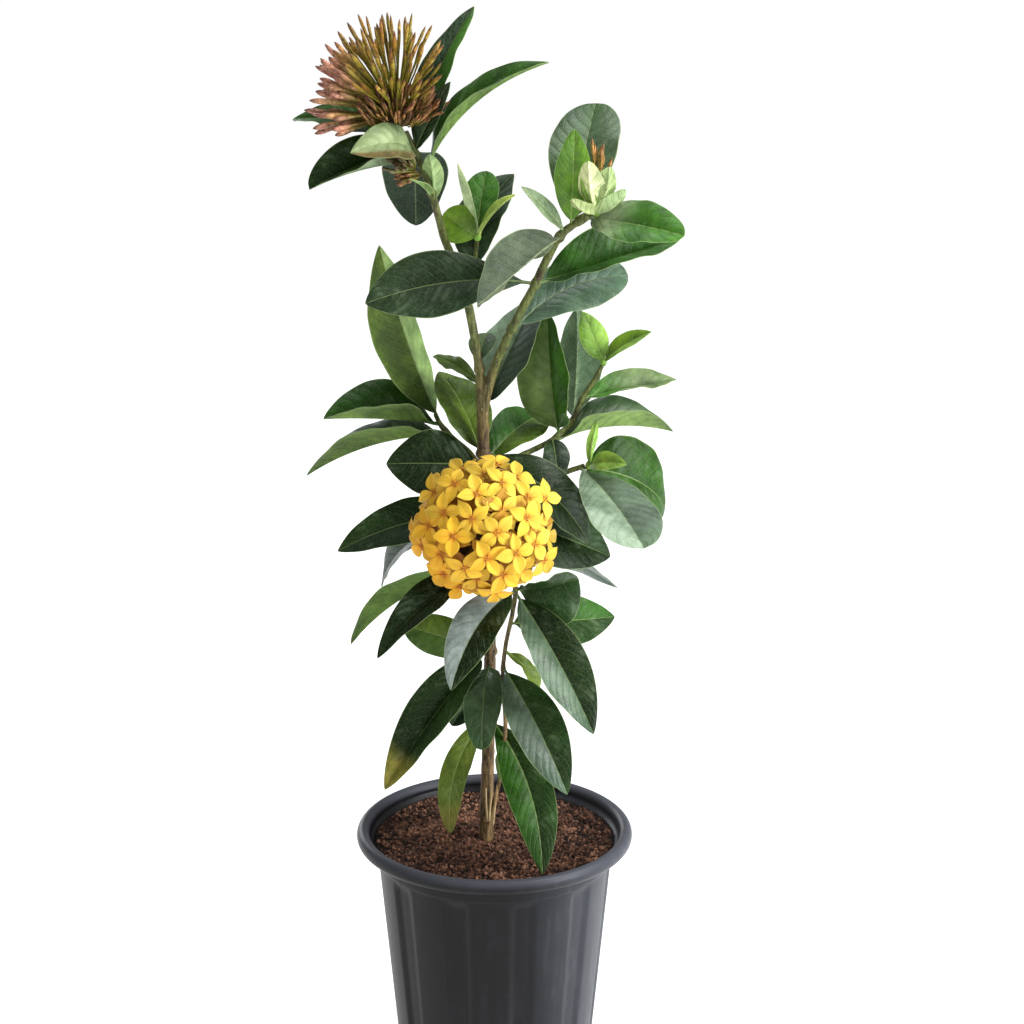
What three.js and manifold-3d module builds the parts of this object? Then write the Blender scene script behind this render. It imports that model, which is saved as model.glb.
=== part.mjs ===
// Ixora in a fluted nursery pot: a woody stem with broad glossy leaves, one open flower head,
// one head of long buds, potting mix, and the pot that holds it all.
// Units are millimetres. +Z is up, -Y is the front, and the origin is the centre of the pot's underside.
import * as THREE from "three";
import { mergeVertices } from "three/addons/utils/BufferGeometryUtils.js";
import Module from "manifold-3d";

const wasm = await Module();
wasm.setup();

// ---------------------------------------------------------------- driving dimensions
const GAP = 0.3; // clearance between pieces that rest against each other

const POT_HEIGHT = 190;
const RIM_RADIUS = 100;
const RIM_HALF_WIDTH = 4.7;
const RIM_HALF_HEIGHT = 5.5;
const WALL = 2;
const FLOOR = 3;
const BASE_RADIUS = 69;
const NECK_RADIUS = 85.9; // outer wall just under the rim
const COLLAR_HEIGHT = 12.5; // smooth band between the rim and the flutes
const FLUTES = 11;
const FLUTE_DEPTH = 2.2;
const FLUTE_START = 7; // degrees from the front to the first flute's edge
const FLUTE_WIDTH = 15; // degrees

const SOIL_TOP = 182.5; // at the stem
const SOIL_EDGE = 180.6; // against the pot
const ROOT_DEPTH = 60; // buried length of the stem
const STEM_FOOT = [-6, -6]; // where the stem stands in the soil

const BLADE = 0.8; // leaf thickness
const RIB = 0.6; // midrib's extra depth under the blade

const PETAL_LENGTH = 14.5;
const PETAL_WIDTH = 11;
const FLORETS = 43;
const FLOWER_CENTRE = [-7, -42, 429];
const FLOWER_RADIUS = 45; // from the centre of the head to the florets' eyes
const FLOWER_CORE = 33;

const BUDS = 66;
const BUD_CENTRE = [-64, -14, 711];
const BUD_REACH = 64; // from the centre of the head to the bud tips
const BUD_CORE = 14;

const rad = THREE.MathUtils.degToRad;
const vec = (p) => new THREE.Vector3(...p);

// ---------------------------------------------------------------- solids
// A small seeded generator, so that every build draws the same values.
function seeded(seed) {
  let s = seed;
  return () => {
    s = (s * 16807) % 2147483647;
    return s / 2147483647;
  };
}

// Joins closed rings of equal size into one solid, with a fan on each end. Each side's quads are split
// along one diagonal, and those of the sides in `crossed` along the other.
function skin(rings, cap = null, crossed = []) {
  const n = rings[0].length;
  const points = rings.flat();
  const index = [];
  const quad = (a, b, c, d) => index.push(a, b, c, a, c, d);
  for (let i = 0; i < rings.length - 1; i++) {
    for (let j = 0; j < n; j++) {
      const k = (j + 1) % n;
      const corners = [i * n + j, i * n + k, (i + 1) * n + k, (i + 1) * n + j];
      if (crossed.includes(j)) corners.push(corners.shift());
      quad(...corners);
    }
  }
  const last = (rings.length - 1) * n;
  const fan = cap ?? Array.from({ length: n - 2 }, (_, j) => [0, j + 1, j + 2]);
  for (const [a, b, c] of fan) {
    index.push(c, b, a);
    index.push(last + a, last + b, last + c);
  }
  return solid(points, index);
}

// Turns points and triangles into a manifold solid that faces outward.
function solid(points, index) {
  let volume = 0;
  for (let i = 0; i < index.length; i += 3) {
    const [a, b, c] = [points[index[i]], points[index[i + 1]], points[index[i + 2]]];
    volume += a.dot(b.clone().cross(c));
  }
  const tris = volume < 0 ? index.slice().reverse() : index;
  const mesh = new wasm.Mesh({
    numProp: 3,
    vertProperties: new Float32Array(points.flatMap((p) => [p.x, p.y, p.z])),
    triVerts: new Uint32Array(tris),
  });
  return new wasm.Manifold(mesh);
}

// Turns a closed three.js geometry into a solid, moved to its place.
function solidOf(geometry, place) {
  geometry.deleteAttribute("normal");
  geometry.deleteAttribute("uv");
  geometry.translate(...place);
  const merged = mergeVertices(geometry, 1e-3);
  const at = merged.attributes.position;
  const points = Array.from({ length: at.count }, (_, i) => new THREE.Vector3().fromBufferAttribute(at, i));
  return solid(points, Array.from(merged.index.array));
}

const ball = (radius, centre, detail = 1) => solidOf(new THREE.IcosahedronGeometry(radius, detail), centre);
const joined = (solids) => solids.reduce((all, one) => all.add(one));

function geometryOf(manifold) {
  const mesh = manifold.getMesh();
  const geometry = new THREE.BufferGeometry();
  geometry.setAttribute("position", new THREE.BufferAttribute(new Float32Array(mesh.vertProperties), 3));
  geometry.setIndex(new THREE.BufferAttribute(new Uint32Array(mesh.triVerts), 1));
  return mergeVertices(geometry, 1e-4);
}

// Turns an outline of [radius, height] points about the Z axis; `dent` may take something off a radius.
function turned(outline, angles, dent = () => 0) {
  const rings = outline.map(([r, z], i) =>
    angles.map((a) => {
      const radius = r - dent(i, a);
      return new THREE.Vector3(radius * Math.sin(a), -radius * Math.cos(a), z);
    }),
  );
  return skin(rings);
}

// ---------------------------------------------------------------- pot and soil
const wallRadius = (z) => BASE_RADIUS + ((NECK_RADIUS - BASE_RADIUS) * z) / (POT_HEIGHT - 2 * RIM_HALF_HEIGHT);
const NECK = POT_HEIGHT - 2 * RIM_HALF_HEIGHT;
const RIM_MID = POT_HEIGHT - RIM_HALF_HEIGHT;

// The rim's inside, from the wall up to the bead; the soil follows it too.
const FLARE = [
  [wallRadius(NECK) - WALL, NECK - 3],
  [wallRadius(NECK) + 1.2, NECK + 0.6],
  [RIM_RADIUS - 2 * RIM_HALF_WIDTH - 0.6, RIM_MID - 1],
];

function potSolid() {
  const bead = Array.from({ length: 7 }, (_, i) => {
    const a = rad(-70 + (i * 250) / 6);
    const centre = RIM_RADIUS - RIM_HALF_WIDTH;
    return [centre + RIM_HALF_WIDTH * Math.cos(a), RIM_MID + RIM_HALF_HEIGHT * Math.sin(a)];
  });
  const fluteTop = NECK - COLLAR_HEIGHT;
  const outline = [
    [BASE_RADIUS - 2, 0],
    [BASE_RADIUS, 2],
    [wallRadius(9), 9],
    [wallRadius(fluteTop - 1.5), fluteTop - 1.5],
    [wallRadius(fluteTop), fluteTop],
    [NECK_RADIUS, NECK],
    ...bead,
    ...FLARE.slice().reverse(),
    [wallRadius(fluteTop) - WALL, fluteTop],
    [wallRadius(fluteTop - 1.5) - WALL, fluteTop - 1.5],
    [wallRadius(FLOOR) - WALL, FLOOR],
  ];
  const fluted = new Set([2, 3, outline.length - 2, outline.length - 1]);
  const step = 360 / FLUTES;
  const within = [0, 0.22, 0.78, 1].map((f) => FLUTE_START + f * FLUTE_WIDTH);
  const middle = FLUTE_START + (FLUTE_WIDTH + step) / 2;
  const angles = [];
  for (let i = 0; i < FLUTES; i++) for (const a of [...within, middle]) angles.push(rad(a + i * step));
  const deep = new Set(angles.filter((_, j) => j % 5 === 1 || j % 5 === 2));
  return turned(outline, angles, (i, a) => (fluted.has(i) && deep.has(a) ? FLUTE_DEPTH : 0));
}

const HOLE_RADIUS = 7; // hole in the soil for the stem, plain all the way down

function soilSolid() {
  const side = [
    [wallRadius(FLOOR) - WALL - FLUTE_DEPTH - GAP, FLOOR + GAP],
    [wallRadius(NECK - COLLAR_HEIGHT) - WALL - FLUTE_DEPTH - GAP, NECK - COLLAR_HEIGHT],
    [FLARE[0][0] - GAP, FLARE[0][1]],
    [FLARE[1][0] - GAP, FLARE[1][1] - GAP / 2],
    [FLARE[1][0] + 0.5 - GAP, SOIL_EDGE],
  ];
  const random = seeded(29);
  const sides = 22;
  const rings = side.map(([r, z]) => ringAt(r, () => z, sides));
  for (const r of [78, 66, 53, 39, 25, 13]) {
    const level = THREE.MathUtils.lerp(SOIL_TOP, SOIL_EDGE, r / 85);
    rings.push(ringAt(r, () => level + (random() - 0.5) * 2.4, sides));
  }
  const depth = ROOT_DEPTH + GAP;
  const bore = new THREE.CylinderGeometry(HOLE_RADIUS, HOLE_RADIUS, 2 * depth, 16).rotateX(Math.PI / 2);
  return skin(rings).subtract(solidOf(bore, [...STEM_FOOT, SOIL_TOP]));
}

function ringAt(r, height, sides) {
  return Array.from({ length: sides }, (_, j) => {
    const a = (2 * Math.PI * j) / sides;
    return new THREE.Vector3(r * Math.cos(a), r * Math.sin(a), height(a));
  });
}

// ---------------------------------------------------------------- stems
// Each stem runs through hand-set points; `joints` are the heights of its leaf joints.
const STEMS = {
  trunk: {
    path: [
      [-6, -6, SOIL_TOP - ROOT_DEPTH],
      [-6, -6, 172],
      [-5, -1, 225],
      [-4, 3, 270],
      [-3, 6, 330],
      [-5, 9, 389],
      [-7, 8, 456],
      [-8, 5, 515],
    ],
    radius: [6.2, 5.2, 4.8, 4.4, 4.2, 4.2, 4.2, 4.4],
    joints: [272, 322, 372, 425, 468],
    sides: 7,
  },
  left: {
    path: [
      [-8, 5, 500],
      [-10, 4, 530],
      [-14, 0, 559],
      [-18, -3, 580],
      [-26, -6, 606],
      [-33, -8, 624],
      [-38, -10, 644],
      [-43, -11, 662],
      [-55, -13, 690],
      [-58.5, -13.4, 698.1],
    ],
    radius: [4, 3.1, 3, 3.2, 2.8, 2.7, 2.6, 2.6, 2.4, 2.2],
    joints: [530, 580, 656, 682],
    sides: 6,
  },
  right: {
    path: [
      [-8, 5, 500],
      [0, 1, 530],
      [13, -6, 562],
      [28, -13, 593],
      [38, -18, 616],
      [46, -21, 630],
      [56, -22, 638],
      [66, -23, 645],
    ],
    radius: [4, 3.2, 3.1, 3, 2.9, 2.8, 2.6, 2.4],
    joints: [561, 594, 628, 640],
    sides: 6,
  },
  bloom: {
    path: [
      [-5, -4, 196],
      [3, -12, 226],
      [8, -16, 272],
      [6, -18, 309],
      [8, -19, 334],
      [13, -20, 360],
      [15, -22, 378],
      [12, -28, 393],
      [9, -31, 399],
    ],
    radius: [1.6, 1.6, 1.6, 1.6, 1.6, 1.7, 1.8, 1.8, 1.8],
    joints: [318, 376],
    sides: 6,
  },
  west: {
    path: [
      [-7, 8, 452],
      [-16, 20, 464],
      [-28, 34, 471],
      [-38, 44, 479],
      [-42, 48, 486],
    ],
    radius: [2.4, 2, 1.9, 1.8, 1.6],
    joints: [476],
    sides: 6,
  },
  east: {
    path: [
      [-6, 8, 454],
      [18, 22, 462],
      [40, 34, 470],
      [54, 40, 481],
      [62, 42, 498],
      [72, 43, 514],
      [76, 43, 522],
    ],
    radius: [2.6, 2.2, 2, 2, 1.9, 1.8, 1.6],
    joints: [474, 498],
    sides: 6,
  },
  twig: {
    path: [
      [-6, 8, 420],
      [22, 16, 437],
      [50, 22, 450],
      [64, 22, 455],
    ],
    radius: [2.4, 2.1, 2, 2],
    joints: [],
    sides: 6,
  },
  back: {
    path: [
      [-17, -3, 575],
      [-15, 8, 592],
      [-12, 18, 606],
      [-11, 22, 616],
    ],
    radius: [2.2, 1.9, 1.8, 1.6],
    joints: [606],
    sides: 6,
  },
};

const SWELL = 1.1; // how far a leaf joint stands out from the stem
const SWELL_REACH = 4; // half its height

for (const stem of Object.values(STEMS)) {
  stem.curve = new THREE.CatmullRomCurve3(stem.path.map(vec), false, "centripetal");
  stem.length = stem.curve.getLength();
}

// The place along a stem, from 0 to 1, where it reaches a height.
function placeAtHeight(stem, height) {
  let [low, high] = [0, 1];
  for (let i = 0; i < 30; i++) {
    const middle = (low + high) / 2;
    if (stem.curve.getPointAt(middle).z < height) low = middle;
    else high = middle;
  }
  return (low + high) / 2;
}

function radiusAt(stem, u) {
  const points = stem.path.length - 1;
  const t = stem.curve.getUtoTmapping(u, 0) * points;
  const i = Math.min(Math.floor(t), points - 1);
  const plain = THREE.MathUtils.lerp(stem.radius[i], stem.radius[i + 1], t - i);
  const z = stem.curve.getPointAt(u).z;
  const swell = stem.joints.map((h) => Math.max(0, 1 - Math.abs(z - h) / SWELL_REACH));
  return plain + SWELL * (stem.radius[0] / 4.4) * Math.max(0, ...swell);
}

// `clear` widens the stem all round.
function stemSolid(stem, clear = 0) {
  const places = new Set([0, 1]);
  const even = Math.ceil(stem.length / 45);
  for (let i = 1; i < even; i++) places.add(i / even);
  for (const height of stem.joints) {
    for (const offset of [-SWELL_REACH, 0, SWELL_REACH]) places.add(placeAtHeight(stem, height + offset));
  }
  const sorted = [...places].sort((a, b) => a - b).filter((u, i, all) => i === 0 || u - all[i - 1] > 0.008);
  const side = new THREE.Vector3(1, 0, 0);
  const rings = sorted.map((u) => {
    const centre = stem.curve.getPointAt(u);
    const along = stem.curve.getTangentAt(u);
    const across = side.clone().addScaledVector(along, -side.dot(along)).normalize();
    const third = along.clone().cross(across);
    const r = radiusAt(stem, u) + clear;
    return Array.from({ length: stem.sides }, (_, j) => {
      const a = (2 * Math.PI * j) / stem.sides;
      return centre.clone().addScaledVector(across, r * Math.cos(a)).addScaledVector(third, r * Math.sin(a));
    });
  });
  return skin(rings);
}

const stemRoom = joined(Object.values(STEMS).map((stem) => stemSolid(stem, GAP)));

// ---------------------------------------------------------------- leaves
// A leaf springs from a stem at a height and reaches to `tip`. `roll` turns its upper face about its own
// length, `fold` lifts each half above the midrib, and `arch` bows it towards its upper face.
const STATIONS = [0, 0.06, 0.16, 0.3, 0.46, 0.62, 0.78, 0.92, 1];
const YOUNG_STATIONS = [0, 0.17, 0.42, 0.7, 1];
const LEAF_CAP = [
  [0, 1, 4],
  [0, 4, 5],
  [1, 2, 3],
  [1, 3, 4],
];
const UNDERSIDE = [3, 4]; // its quads are split as those of the upper face above them

// Half the blade's width at a place along it; `peak` is where it is widest, `blunt` fills out its ends.
function halfWidth(t, width, peak, blunt) {
  const u = Math.max(0, (t - 0.04) / 0.96);
  const swell = Math.max(0, Math.sin(Math.PI * u ** (Math.log(0.5) / Math.log(peak)))) ** (0.8 - 0.4 * blunt);
  return Math.max(t < 0.5 ? 1 : 0.5, (width / 2) * swell);
}

function leafSolid(base, tip, shape) {
  const { w, roll = 0, fold = 15, arch = 6, sweep = 0, twist = 0, peak = 0.48, blunt = 0.1 } = shape;
  const { wave = 1.2, seed = 1 } = shape;
  const stations = shape.stations ?? STATIONS;
  const chord = tip.clone().sub(base).normalize();
  const level = chord.clone().cross(new THREE.Vector3(0, 0, 1)).normalize();
  const face = level.clone().cross(chord).normalize().applyAxisAngle(chord, rad(roll));
  const side = chord.clone().cross(face);
  const middle = base.clone().add(tip).multiplyScalar(0.5);
  middle.addScaledVector(face, 2 * arch).addScaledVector(side, 2 * sweep);
  const rib = new THREE.QuadraticBezierCurve3(base, middle, tip);
  const phase = seed * 2.4;
  const rings = stations.map((t) => {
    const p = rib.getPoint(t);
    const along = rib.getTangent(t);
    const turned = face.clone().applyAxisAngle(chord, rad(twist * (t - 0.5)));
    const up = turned.addScaledVector(along, -turned.dot(along)).normalize();
    const out = along.clone().cross(up);
    const half = halfWidth(t, w, peak, blunt);
    const lift = rad(fold) * Math.min(1, t / 0.2) * (1 - 0.35 * t * t);
    const ripple = wave * Math.sin(Math.PI * t) ** 0.5;
    const edge = (hand, side) => {
      const flat = out.clone().multiplyScalar(hand * Math.cos(lift)).addScaledVector(up, Math.sin(lift));
      const facing = up.clone().multiplyScalar(Math.cos(lift)).addScaledVector(out, -hand * Math.sin(lift));
      const rise = ripple * Math.sin(12 * t + phase + (hand > 0 ? 0 : 2)) + (side * BLADE) / 2;
      return p.clone().addScaledVector(flat, half).addScaledVector(facing, rise);
    };
    const thick = t < 0.08 ? 1 : BLADE / 2 / Math.cos(lift);
    const top = p.clone().addScaledVector(up, thick);
    const bottom = p.clone().addScaledVector(up, -thick - RIB * (1 - t));
    return [edge(-1, 1), top, edge(1, 1), edge(1, -1), bottom, edge(-1, -1)];
  });
  return skin(rings, LEAF_CAP, UNDERSIDE);
}

// Seats the leaf on its stem, on the side that the leaf leaves it, and trims its foot to stand just clear.
function leafOn(stem, height, tip, shape) {
  const u = placeAtHeight(stem, height);
  const centre = stem.curve.getPointAt(u);
  const along = stem.curve.getTangentAt(u);
  const outward = tip.clone().sub(centre);
  if (shape.leave !== undefined) {
    outward.set(Math.sin(rad(shape.leave)), -Math.cos(rad(shape.leave)), 0);
  }
  outward.addScaledVector(along, -outward.dot(along)).normalize();
  const base = centre.addScaledVector(outward, radiusAt(stem, u) + 1.5 * GAP);
  const leaf = leafSolid(base, tip, shape);
  if (leaf.intersect(stemRoom).volume() < 1e-3) return leaf;
  const pieces = leaf.subtract(stemRoom).decompose();
  return pieces.sort((a, b) => b.volume() - a.volume())[0];
}

// name, stem, height on it, tip, shape
const LEAVES = [
  ["crown_1", "left", 687, [-13, 38, 774], { w: 28, roll: 0, fold: 25, arch: 6, leave: 175 }],
  ["crown_2", "left", 672, [37, -20, 745], { w: 36, roll: 13, fold: 39, arch: 12 }],
  ["crown_4", "left", 684, [-93, -54, 691], { w: 29, roll: -50, fold: 12, arch: 13 }],
  ["crown_5", "left", 678, [-121, -45, 665], { w: 46, roll: -22, fold: 58, arch: 5, blunt: 0.6 }],
  ["crown_6", "left", 688, [-137, 34, 698], { w: 38, roll: -20, fold: 25, arch: 8 }],
  ["crown_7", "left", 684, [-54, 46, 622], { w: 46, roll: 0, fold: 10, arch: 12, blunt: 0.6 }],
  ["left_1", "right", 594, [-85, -50, 589], { w: 46, roll: -62, fold: 12, arch: 6, sweep: 6, peak: 0.6 }],
  ["right_1", "right", 628, [-10, -75, 594], { w: 50, roll: 70, fold: 40, arch: 0, blunt: 0.5 }],
  ["right_3", "right", 638, [70, 40, 708], { w: 50, roll: -5, fold: 12, arch: 6, peak: 0.58, blunt: 0.8 }],
  ["right_4", "right", 636, [54, -34, 703], { w: 22, roll: 172, fold: 10, arch: 1 }],
  ["right_5", "right", 643, [126, -60, 637], { w: 38, roll: 35, fold: 15, arch: 2, blunt: 0.7 }],
  ["right_6", "right", 596, [130, 25, 619], { w: 52, roll: 28, fold: 46, arch: -2 }],
  ["right_7", "right", 562, [93, 30, 590], { w: 42, roll: 50, fold: 12, arch: 6, sweep: -8, peak: 0.6, blunt: 0.7 }],
  ["right_8", "trunk", 503, [29, 40, 570], { w: 50, roll: 0, fold: 12, arch: 2, blunt: 0.5 }],
  ["back_2", "back", 597, [14, 62, 655], { w: 40, roll: 0, fold: 20, arch: 4, sweep: -8, leave: 80 }],
  ["east_1", "east", 474, [38, 42, 560], { w: 50, roll: -93, fold: 30, arch: 3, peak: 0.4, blunt: 0.4 }],
  ["east_2", "east", 483, [59, 80, 556], { w: 36, roll: 160, fold: 15, arch: 4, leave: 150 }],
  ["east_3", "east", 500, [131, 85, 501], { w: 31, roll: 20, fold: 42, arch: 0 }],
  ["east_4", "east", 472, [128, 65, 468], { w: 46, roll: 5, fold: 62, arch: 7 }],
  ["twig_1", "twig", 454, [102, -70, 424], { w: 50, roll: 5, fold: 8, arch: 5, peak: 0.66, blunt: 0.9 }],
  ["twig_2", "twig", 454.5, [122, 45, 417], { w: 64, roll: 50, fold: 8, arch: 14, peak: 0.4, blunt: 0.6 }],
  ["west_1", "west", 482, [-80, 50, 607], { w: 54, roll: 150, fold: 20, arch: 4 }],
  ["west_2", "west", 480, [-120, 30, 487], { w: 58, roll: -12, fold: 60, arch: 2 }],
  ["west_3", "west", 474, [-135, 65, 435], { w: 42, roll: 2, fold: 52, arch: 8 }],
  ["mid_1", "trunk", 460, [-75, 3, 462], { w: 48, roll: -60, fold: 8, arch: 3 }],
  ["mid_2", "trunk", 425, [-109, -12, 403], { w: 36, roll: -40, fold: 15, arch: 12 }],
  ["mid_3", "trunk", 425, [-82, 60, 352], { w: 36, roll: -45, fold: 25, arch: 16 }],
  ["mid_4", "trunk", 374, [-80, -60, 341], { w: 30, roll: -20, fold: 35, arch: 20 }],
  ["mid_5", "trunk", 380, [-104, 40, 315], { w: 44, roll: 20, fold: 30, arch: 12 }],
  ["mid_6", "trunk", 322, [-65, 45, 327], { w: 30, roll: -60, fold: 5, arch: 5, blunt: 0.7 }],
  ["mid_7", "trunk", 468, [67, 14, 400], { w: 39, roll: 45, fold: 18, arch: 13 }],
  ["mid_8", "trunk", 425, [83, 36, 383], { w: 50, roll: 65, fold: 15, arch: 4 }],
  ["mid_9", "trunk", 405, [90, 78, 345], { w: 38, roll: 165, fold: 20, arch: -8 }],
  ["mid_10", "east", 471, [45, 12, 446], { w: 20, roll: 0, fold: 20, arch: 4, leave: -90 }],
  ["fork_1", "trunk", 468, [-39, 50, 516], { w: 42, roll: 0, fold: 15, arch: 6 }],
  ["fork_2", "left", 519, [-43, 55, 526], { w: 14, roll: -20, fold: 20, arch: 4 }],
  ["fork_3", "trunk", 462, [38, 72, 478], { w: 36, roll: 20, fold: 12, arch: 10 }],
  ["bloom_1", "bloom", 377, [-29, -85, 327], { w: 34, roll: -25, fold: 20, arch: 12, sweep: 6 }],
  ["bloom_2", "bloom", 375, [69, -70, 289], { w: 40, roll: 25, fold: 22, arch: 8 }],
  ["bloom_3", "bloom", 378, [59, -25, 387], { w: 60, roll: 120, fold: 40, arch: 2, peak: 0.6, blunt: 0.7 }],
  ["bloom_4", "bloom", 352, [87, 45, 334], { w: 40, roll: 60, fold: 15, arch: -3 }],
  ["low_1", "trunk", 322, [-77, -45, 237], { w: 42, roll: -25, fold: 40, arch: 5, peak: 0.42 }],
  ["low_2", "trunk", 300, [-30, -22, 276], { w: 24, roll: -30, fold: 20, arch: 4, blunt: 0.6 }],
  ["low_3", "trunk", 312, [-8, -60, 273], { w: 28, roll: 10, fold: 12, arch: 8, blunt: 0.9 }],
  ["low_4", "trunk", 272, [-31, -30, 197], { w: 20, roll: -30, fold: 10, arch: 4, sweep: 9, blunt: 0.6 }],
  ["low_5", "bloom", 318, [51, -75, 246], { w: 38, roll: 25, fold: 15, arch: 12 }],
  ["low_6", "bloom", 331, [32, -20, 298], { w: 14, roll: 30, fold: 20, arch: 6 }],
  ["low_7", "trunk", 272, [34, -74, 185], { w: 34, roll: 20, fold: 10, arch: 8, sweep: -9 }],
];

// Small young leaves that stand together and share one foot at the end or side of a shoot.
const TUFTS = [
  {
    name: "back_tuft",
    foot: [-11, 22, 619],
    leaves: [
      [[-34, 26, 635], { w: 28, roll: -85, fold: 10, arch: 3, peak: 0.55, blunt: 0.6 }],
      [[-24, 5, 673], { w: 15, roll: 160, fold: 25, arch: -3 }],
      [[15, -2, 653], { w: 14, roll: 40, fold: 30, arch: 3 }],
      [[-5, 42, 661], { w: 26, roll: 0, fold: 15, arch: 3, peak: 0.6, blunt: 0.6 }],
    ],
  },
  {
    name: "right_tuft",
    foot: [71, -29, 649],
    leaves: [
      [[66, -55, 680], { w: 19, roll: 0, fold: 28, arch: 4 }],
      [[80, -53, 675], { w: 19, roll: 0, fold: 32, arch: 4 }],
      [[88, -36, 658], { w: 17, roll: 10, fold: 30, arch: 4 }],
      [[52, -54, 663], { w: 15, roll: 0, fold: 35, arch: 4 }],
    ],
  },
  {
    name: "east_tuft",
    foot: [77, 43, 525],
    leaves: [
      [[62, 40, 562], { w: 20, roll: -90, fold: 15, arch: 2 }],
      [[110, 34, 549], { w: 17, roll: 40, fold: 30, arch: 3 }],
    ],
  },
  {
    name: "twig_tuft",
    foot: [66.8, 20, 456],
    leaves: [
      [[92, -5, 464], { w: 16, roll: 50, fold: 20, arch: 4 }],
      [[72, 4, 493], { w: 8, roll: 0, fold: 20, arch: 2 }],
    ],
  },
];

const TUFT_KNOB = 2.6;
const YOUNG = { wave: 0.3, stations: YOUNG_STATIONS };

function tuftSolid({ foot, leaves }) {
  let all = ball(TUFT_KNOB, foot, 0);
  for (const [tip, shape] of leaves) all = all.add(leafSolid(vec(foot), vec(tip), { ...shape, ...YOUNG }));
  return all;
}

// Small leaves grown together with the stem itself.
const STEM_SPROUTS = [
  ["left", 684, [-28, -25, 733], { w: 16, roll: 80, fold: 20, arch: 2 }],
  ["left", 650, [-42, -26, 685], { w: 11, fold: 20, arch: 3 }],
  ["left", 650, [-56, -26, 668], { w: 9, fold: 20, arch: 3 }],
  ["left", 535, [-4, 30, 549], { w: 20, fold: 20, arch: 3 }],
  ["right", 632, [19, -46, 667], { w: 13, roll: -70, fold: 15, arch: 2 }],
  ["bloom", 300, [16, -10, 264], { w: 14, fold: 20, arch: 4 }],
];

// ---------------------------------------------------------------- heads
// Spreads directions evenly over a cap about `axis`, out to `reach` degrees from it.
function spread(count, axis, reach) {
  const turn = new THREE.Quaternion().setFromUnitVectors(new THREE.Vector3(0, 0, 1), vec(axis).normalize());
  const golden = Math.PI * (3 - Math.sqrt(5));
  return Array.from({ length: count }, (_, i) => {
    const z = 1 - ((i + 0.5) / count) * (1 - Math.cos(rad(reach)));
    const r = Math.sqrt(1 - z * z);
    const direction = new THREE.Vector3(r * Math.cos(golden * i), r * Math.sin(golden * i), z);
    return direction.applyQuaternion(turn);
  });
}

// One floret: four pointed petals on a thin tube that runs back into the head.
function floretSolid(centre, out, spin, tube) {
  const across = new THREE.Vector3(0, 0, 1).cross(out);
  if (across.length() < 0.1) across.set(1, 0, 0).cross(out);
  across.normalize();
  const third = out.clone().cross(across);
  const place = (radius, angle, rise) =>
    centre
      .clone()
      .addScaledVector(across, radius * Math.cos(angle))
      .addScaledVector(third, radius * Math.sin(angle))
      .addScaledVector(out, rise);
  const shoulder = Math.atan2(PETAL_WIDTH / 2, PETAL_LENGTH * 0.55);
  const outline = [];
  for (let petal = 0; petal < 4; petal++) {
    const a = spin + (petal * Math.PI) / 2;
    const wide = Math.hypot(PETAL_WIDTH / 2, PETAL_LENGTH * 0.55);
    outline.push([wide, a - shoulder, 0.3], [PETAL_LENGTH, a, -2.2], [wide, a + shoulder, 0.3]);
    outline.push([1.9, a + Math.PI / 4, 0]);
  }
  const n = outline.length;
  const points = outline.map(([r, a, h]) => place(r, a, h + 0.35));
  points.push(...outline.map(([r, a, h]) => place(r, a, h - 0.35)));
  const eye = points.push(place(0, 0, 0.35)) - 1;
  const index = [];
  for (let j = 0; j < n; j++) {
    const k = (j + 1) % n;
    index.push(eye, j, k, j, j + n, k + n, j, k + n, k);
  }
  // under the petals the notches gather into the tube
  const notch = [3, 7, 11, 15].map((j) => j + n);
  for (let q = 0; q < 4; q++) {
    const [from, to] = [notch[(q + 3) % 4], notch[q]];
    const first = ((q * 4) % n) + n;
    index.push(from, to, first + 2, from, first + 2, first + 1, from, first + 1, first);
  }
  const foot = [0, 1, 2, 3].map((q) => points.push(place(0.9, spin + Math.PI / 4 + (q * Math.PI) / 2, -tube)) - 1);
  for (let q = 0; q < 4; q++) {
    const p = (q + 1) % 4;
    index.push(notch[q], foot[q], foot[p], notch[q], foot[p], notch[p]);
  }
  index.push(foot[0], foot[2], foot[1], foot[0], foot[3], foot[2]);
  return solid(points, index);
}

function flowerSolid() {
  const random = seeded(7);
  const centre = vec(FLOWER_CENTRE);
  const axis = [0.05, -0.97, 0.25];
  let head = ball(FLOWER_CORE, FLOWER_CENTRE);
  spread(FLORETS, axis, 112).forEach((out, i) => {
    const radius = FLOWER_RADIUS + 2 * ((i % 3) - 1);
    const lean = new THREE.Vector3(random() - 0.5, random() - 0.5, random() - 0.5).multiplyScalar(0.2);
    const facing = out.clone().add(lean).normalize();
    const eye = centre.clone().addScaledVector(out, radius);
    const floret = floretSolid(eye, facing, random() * Math.PI, radius - FLOWER_CORE + 4);
    if (floret.intersect(stemRoom).isEmpty()) head = head.add(floret);
  });
  return head;
}

// One bud: a thin tube that swells to a pointed tip, with three sides.
function budSolid(from, to, thick) {
  const along = to.clone().sub(from).normalize();
  const across = new THREE.Vector3(0, 0, 1).cross(along);
  if (across.length() < 0.1) across.set(1, 0, 0).cross(along);
  across.normalize();
  const third = along.clone().cross(across);
  const ring = (t, r) => {
    const p = from.clone().lerp(to, t);
    return [0, 1, 2].map((q) => {
      const a = (q * 2 * Math.PI) / 3;
      return p.clone().addScaledVector(across, r * Math.cos(a)).addScaledVector(third, r * Math.sin(a));
    });
  };
  return skin([ring(0, thick * 0.4), ring(0.6, thick * 0.5), ring(0.85, thick), ring(1, 0.4)]);
}

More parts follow.
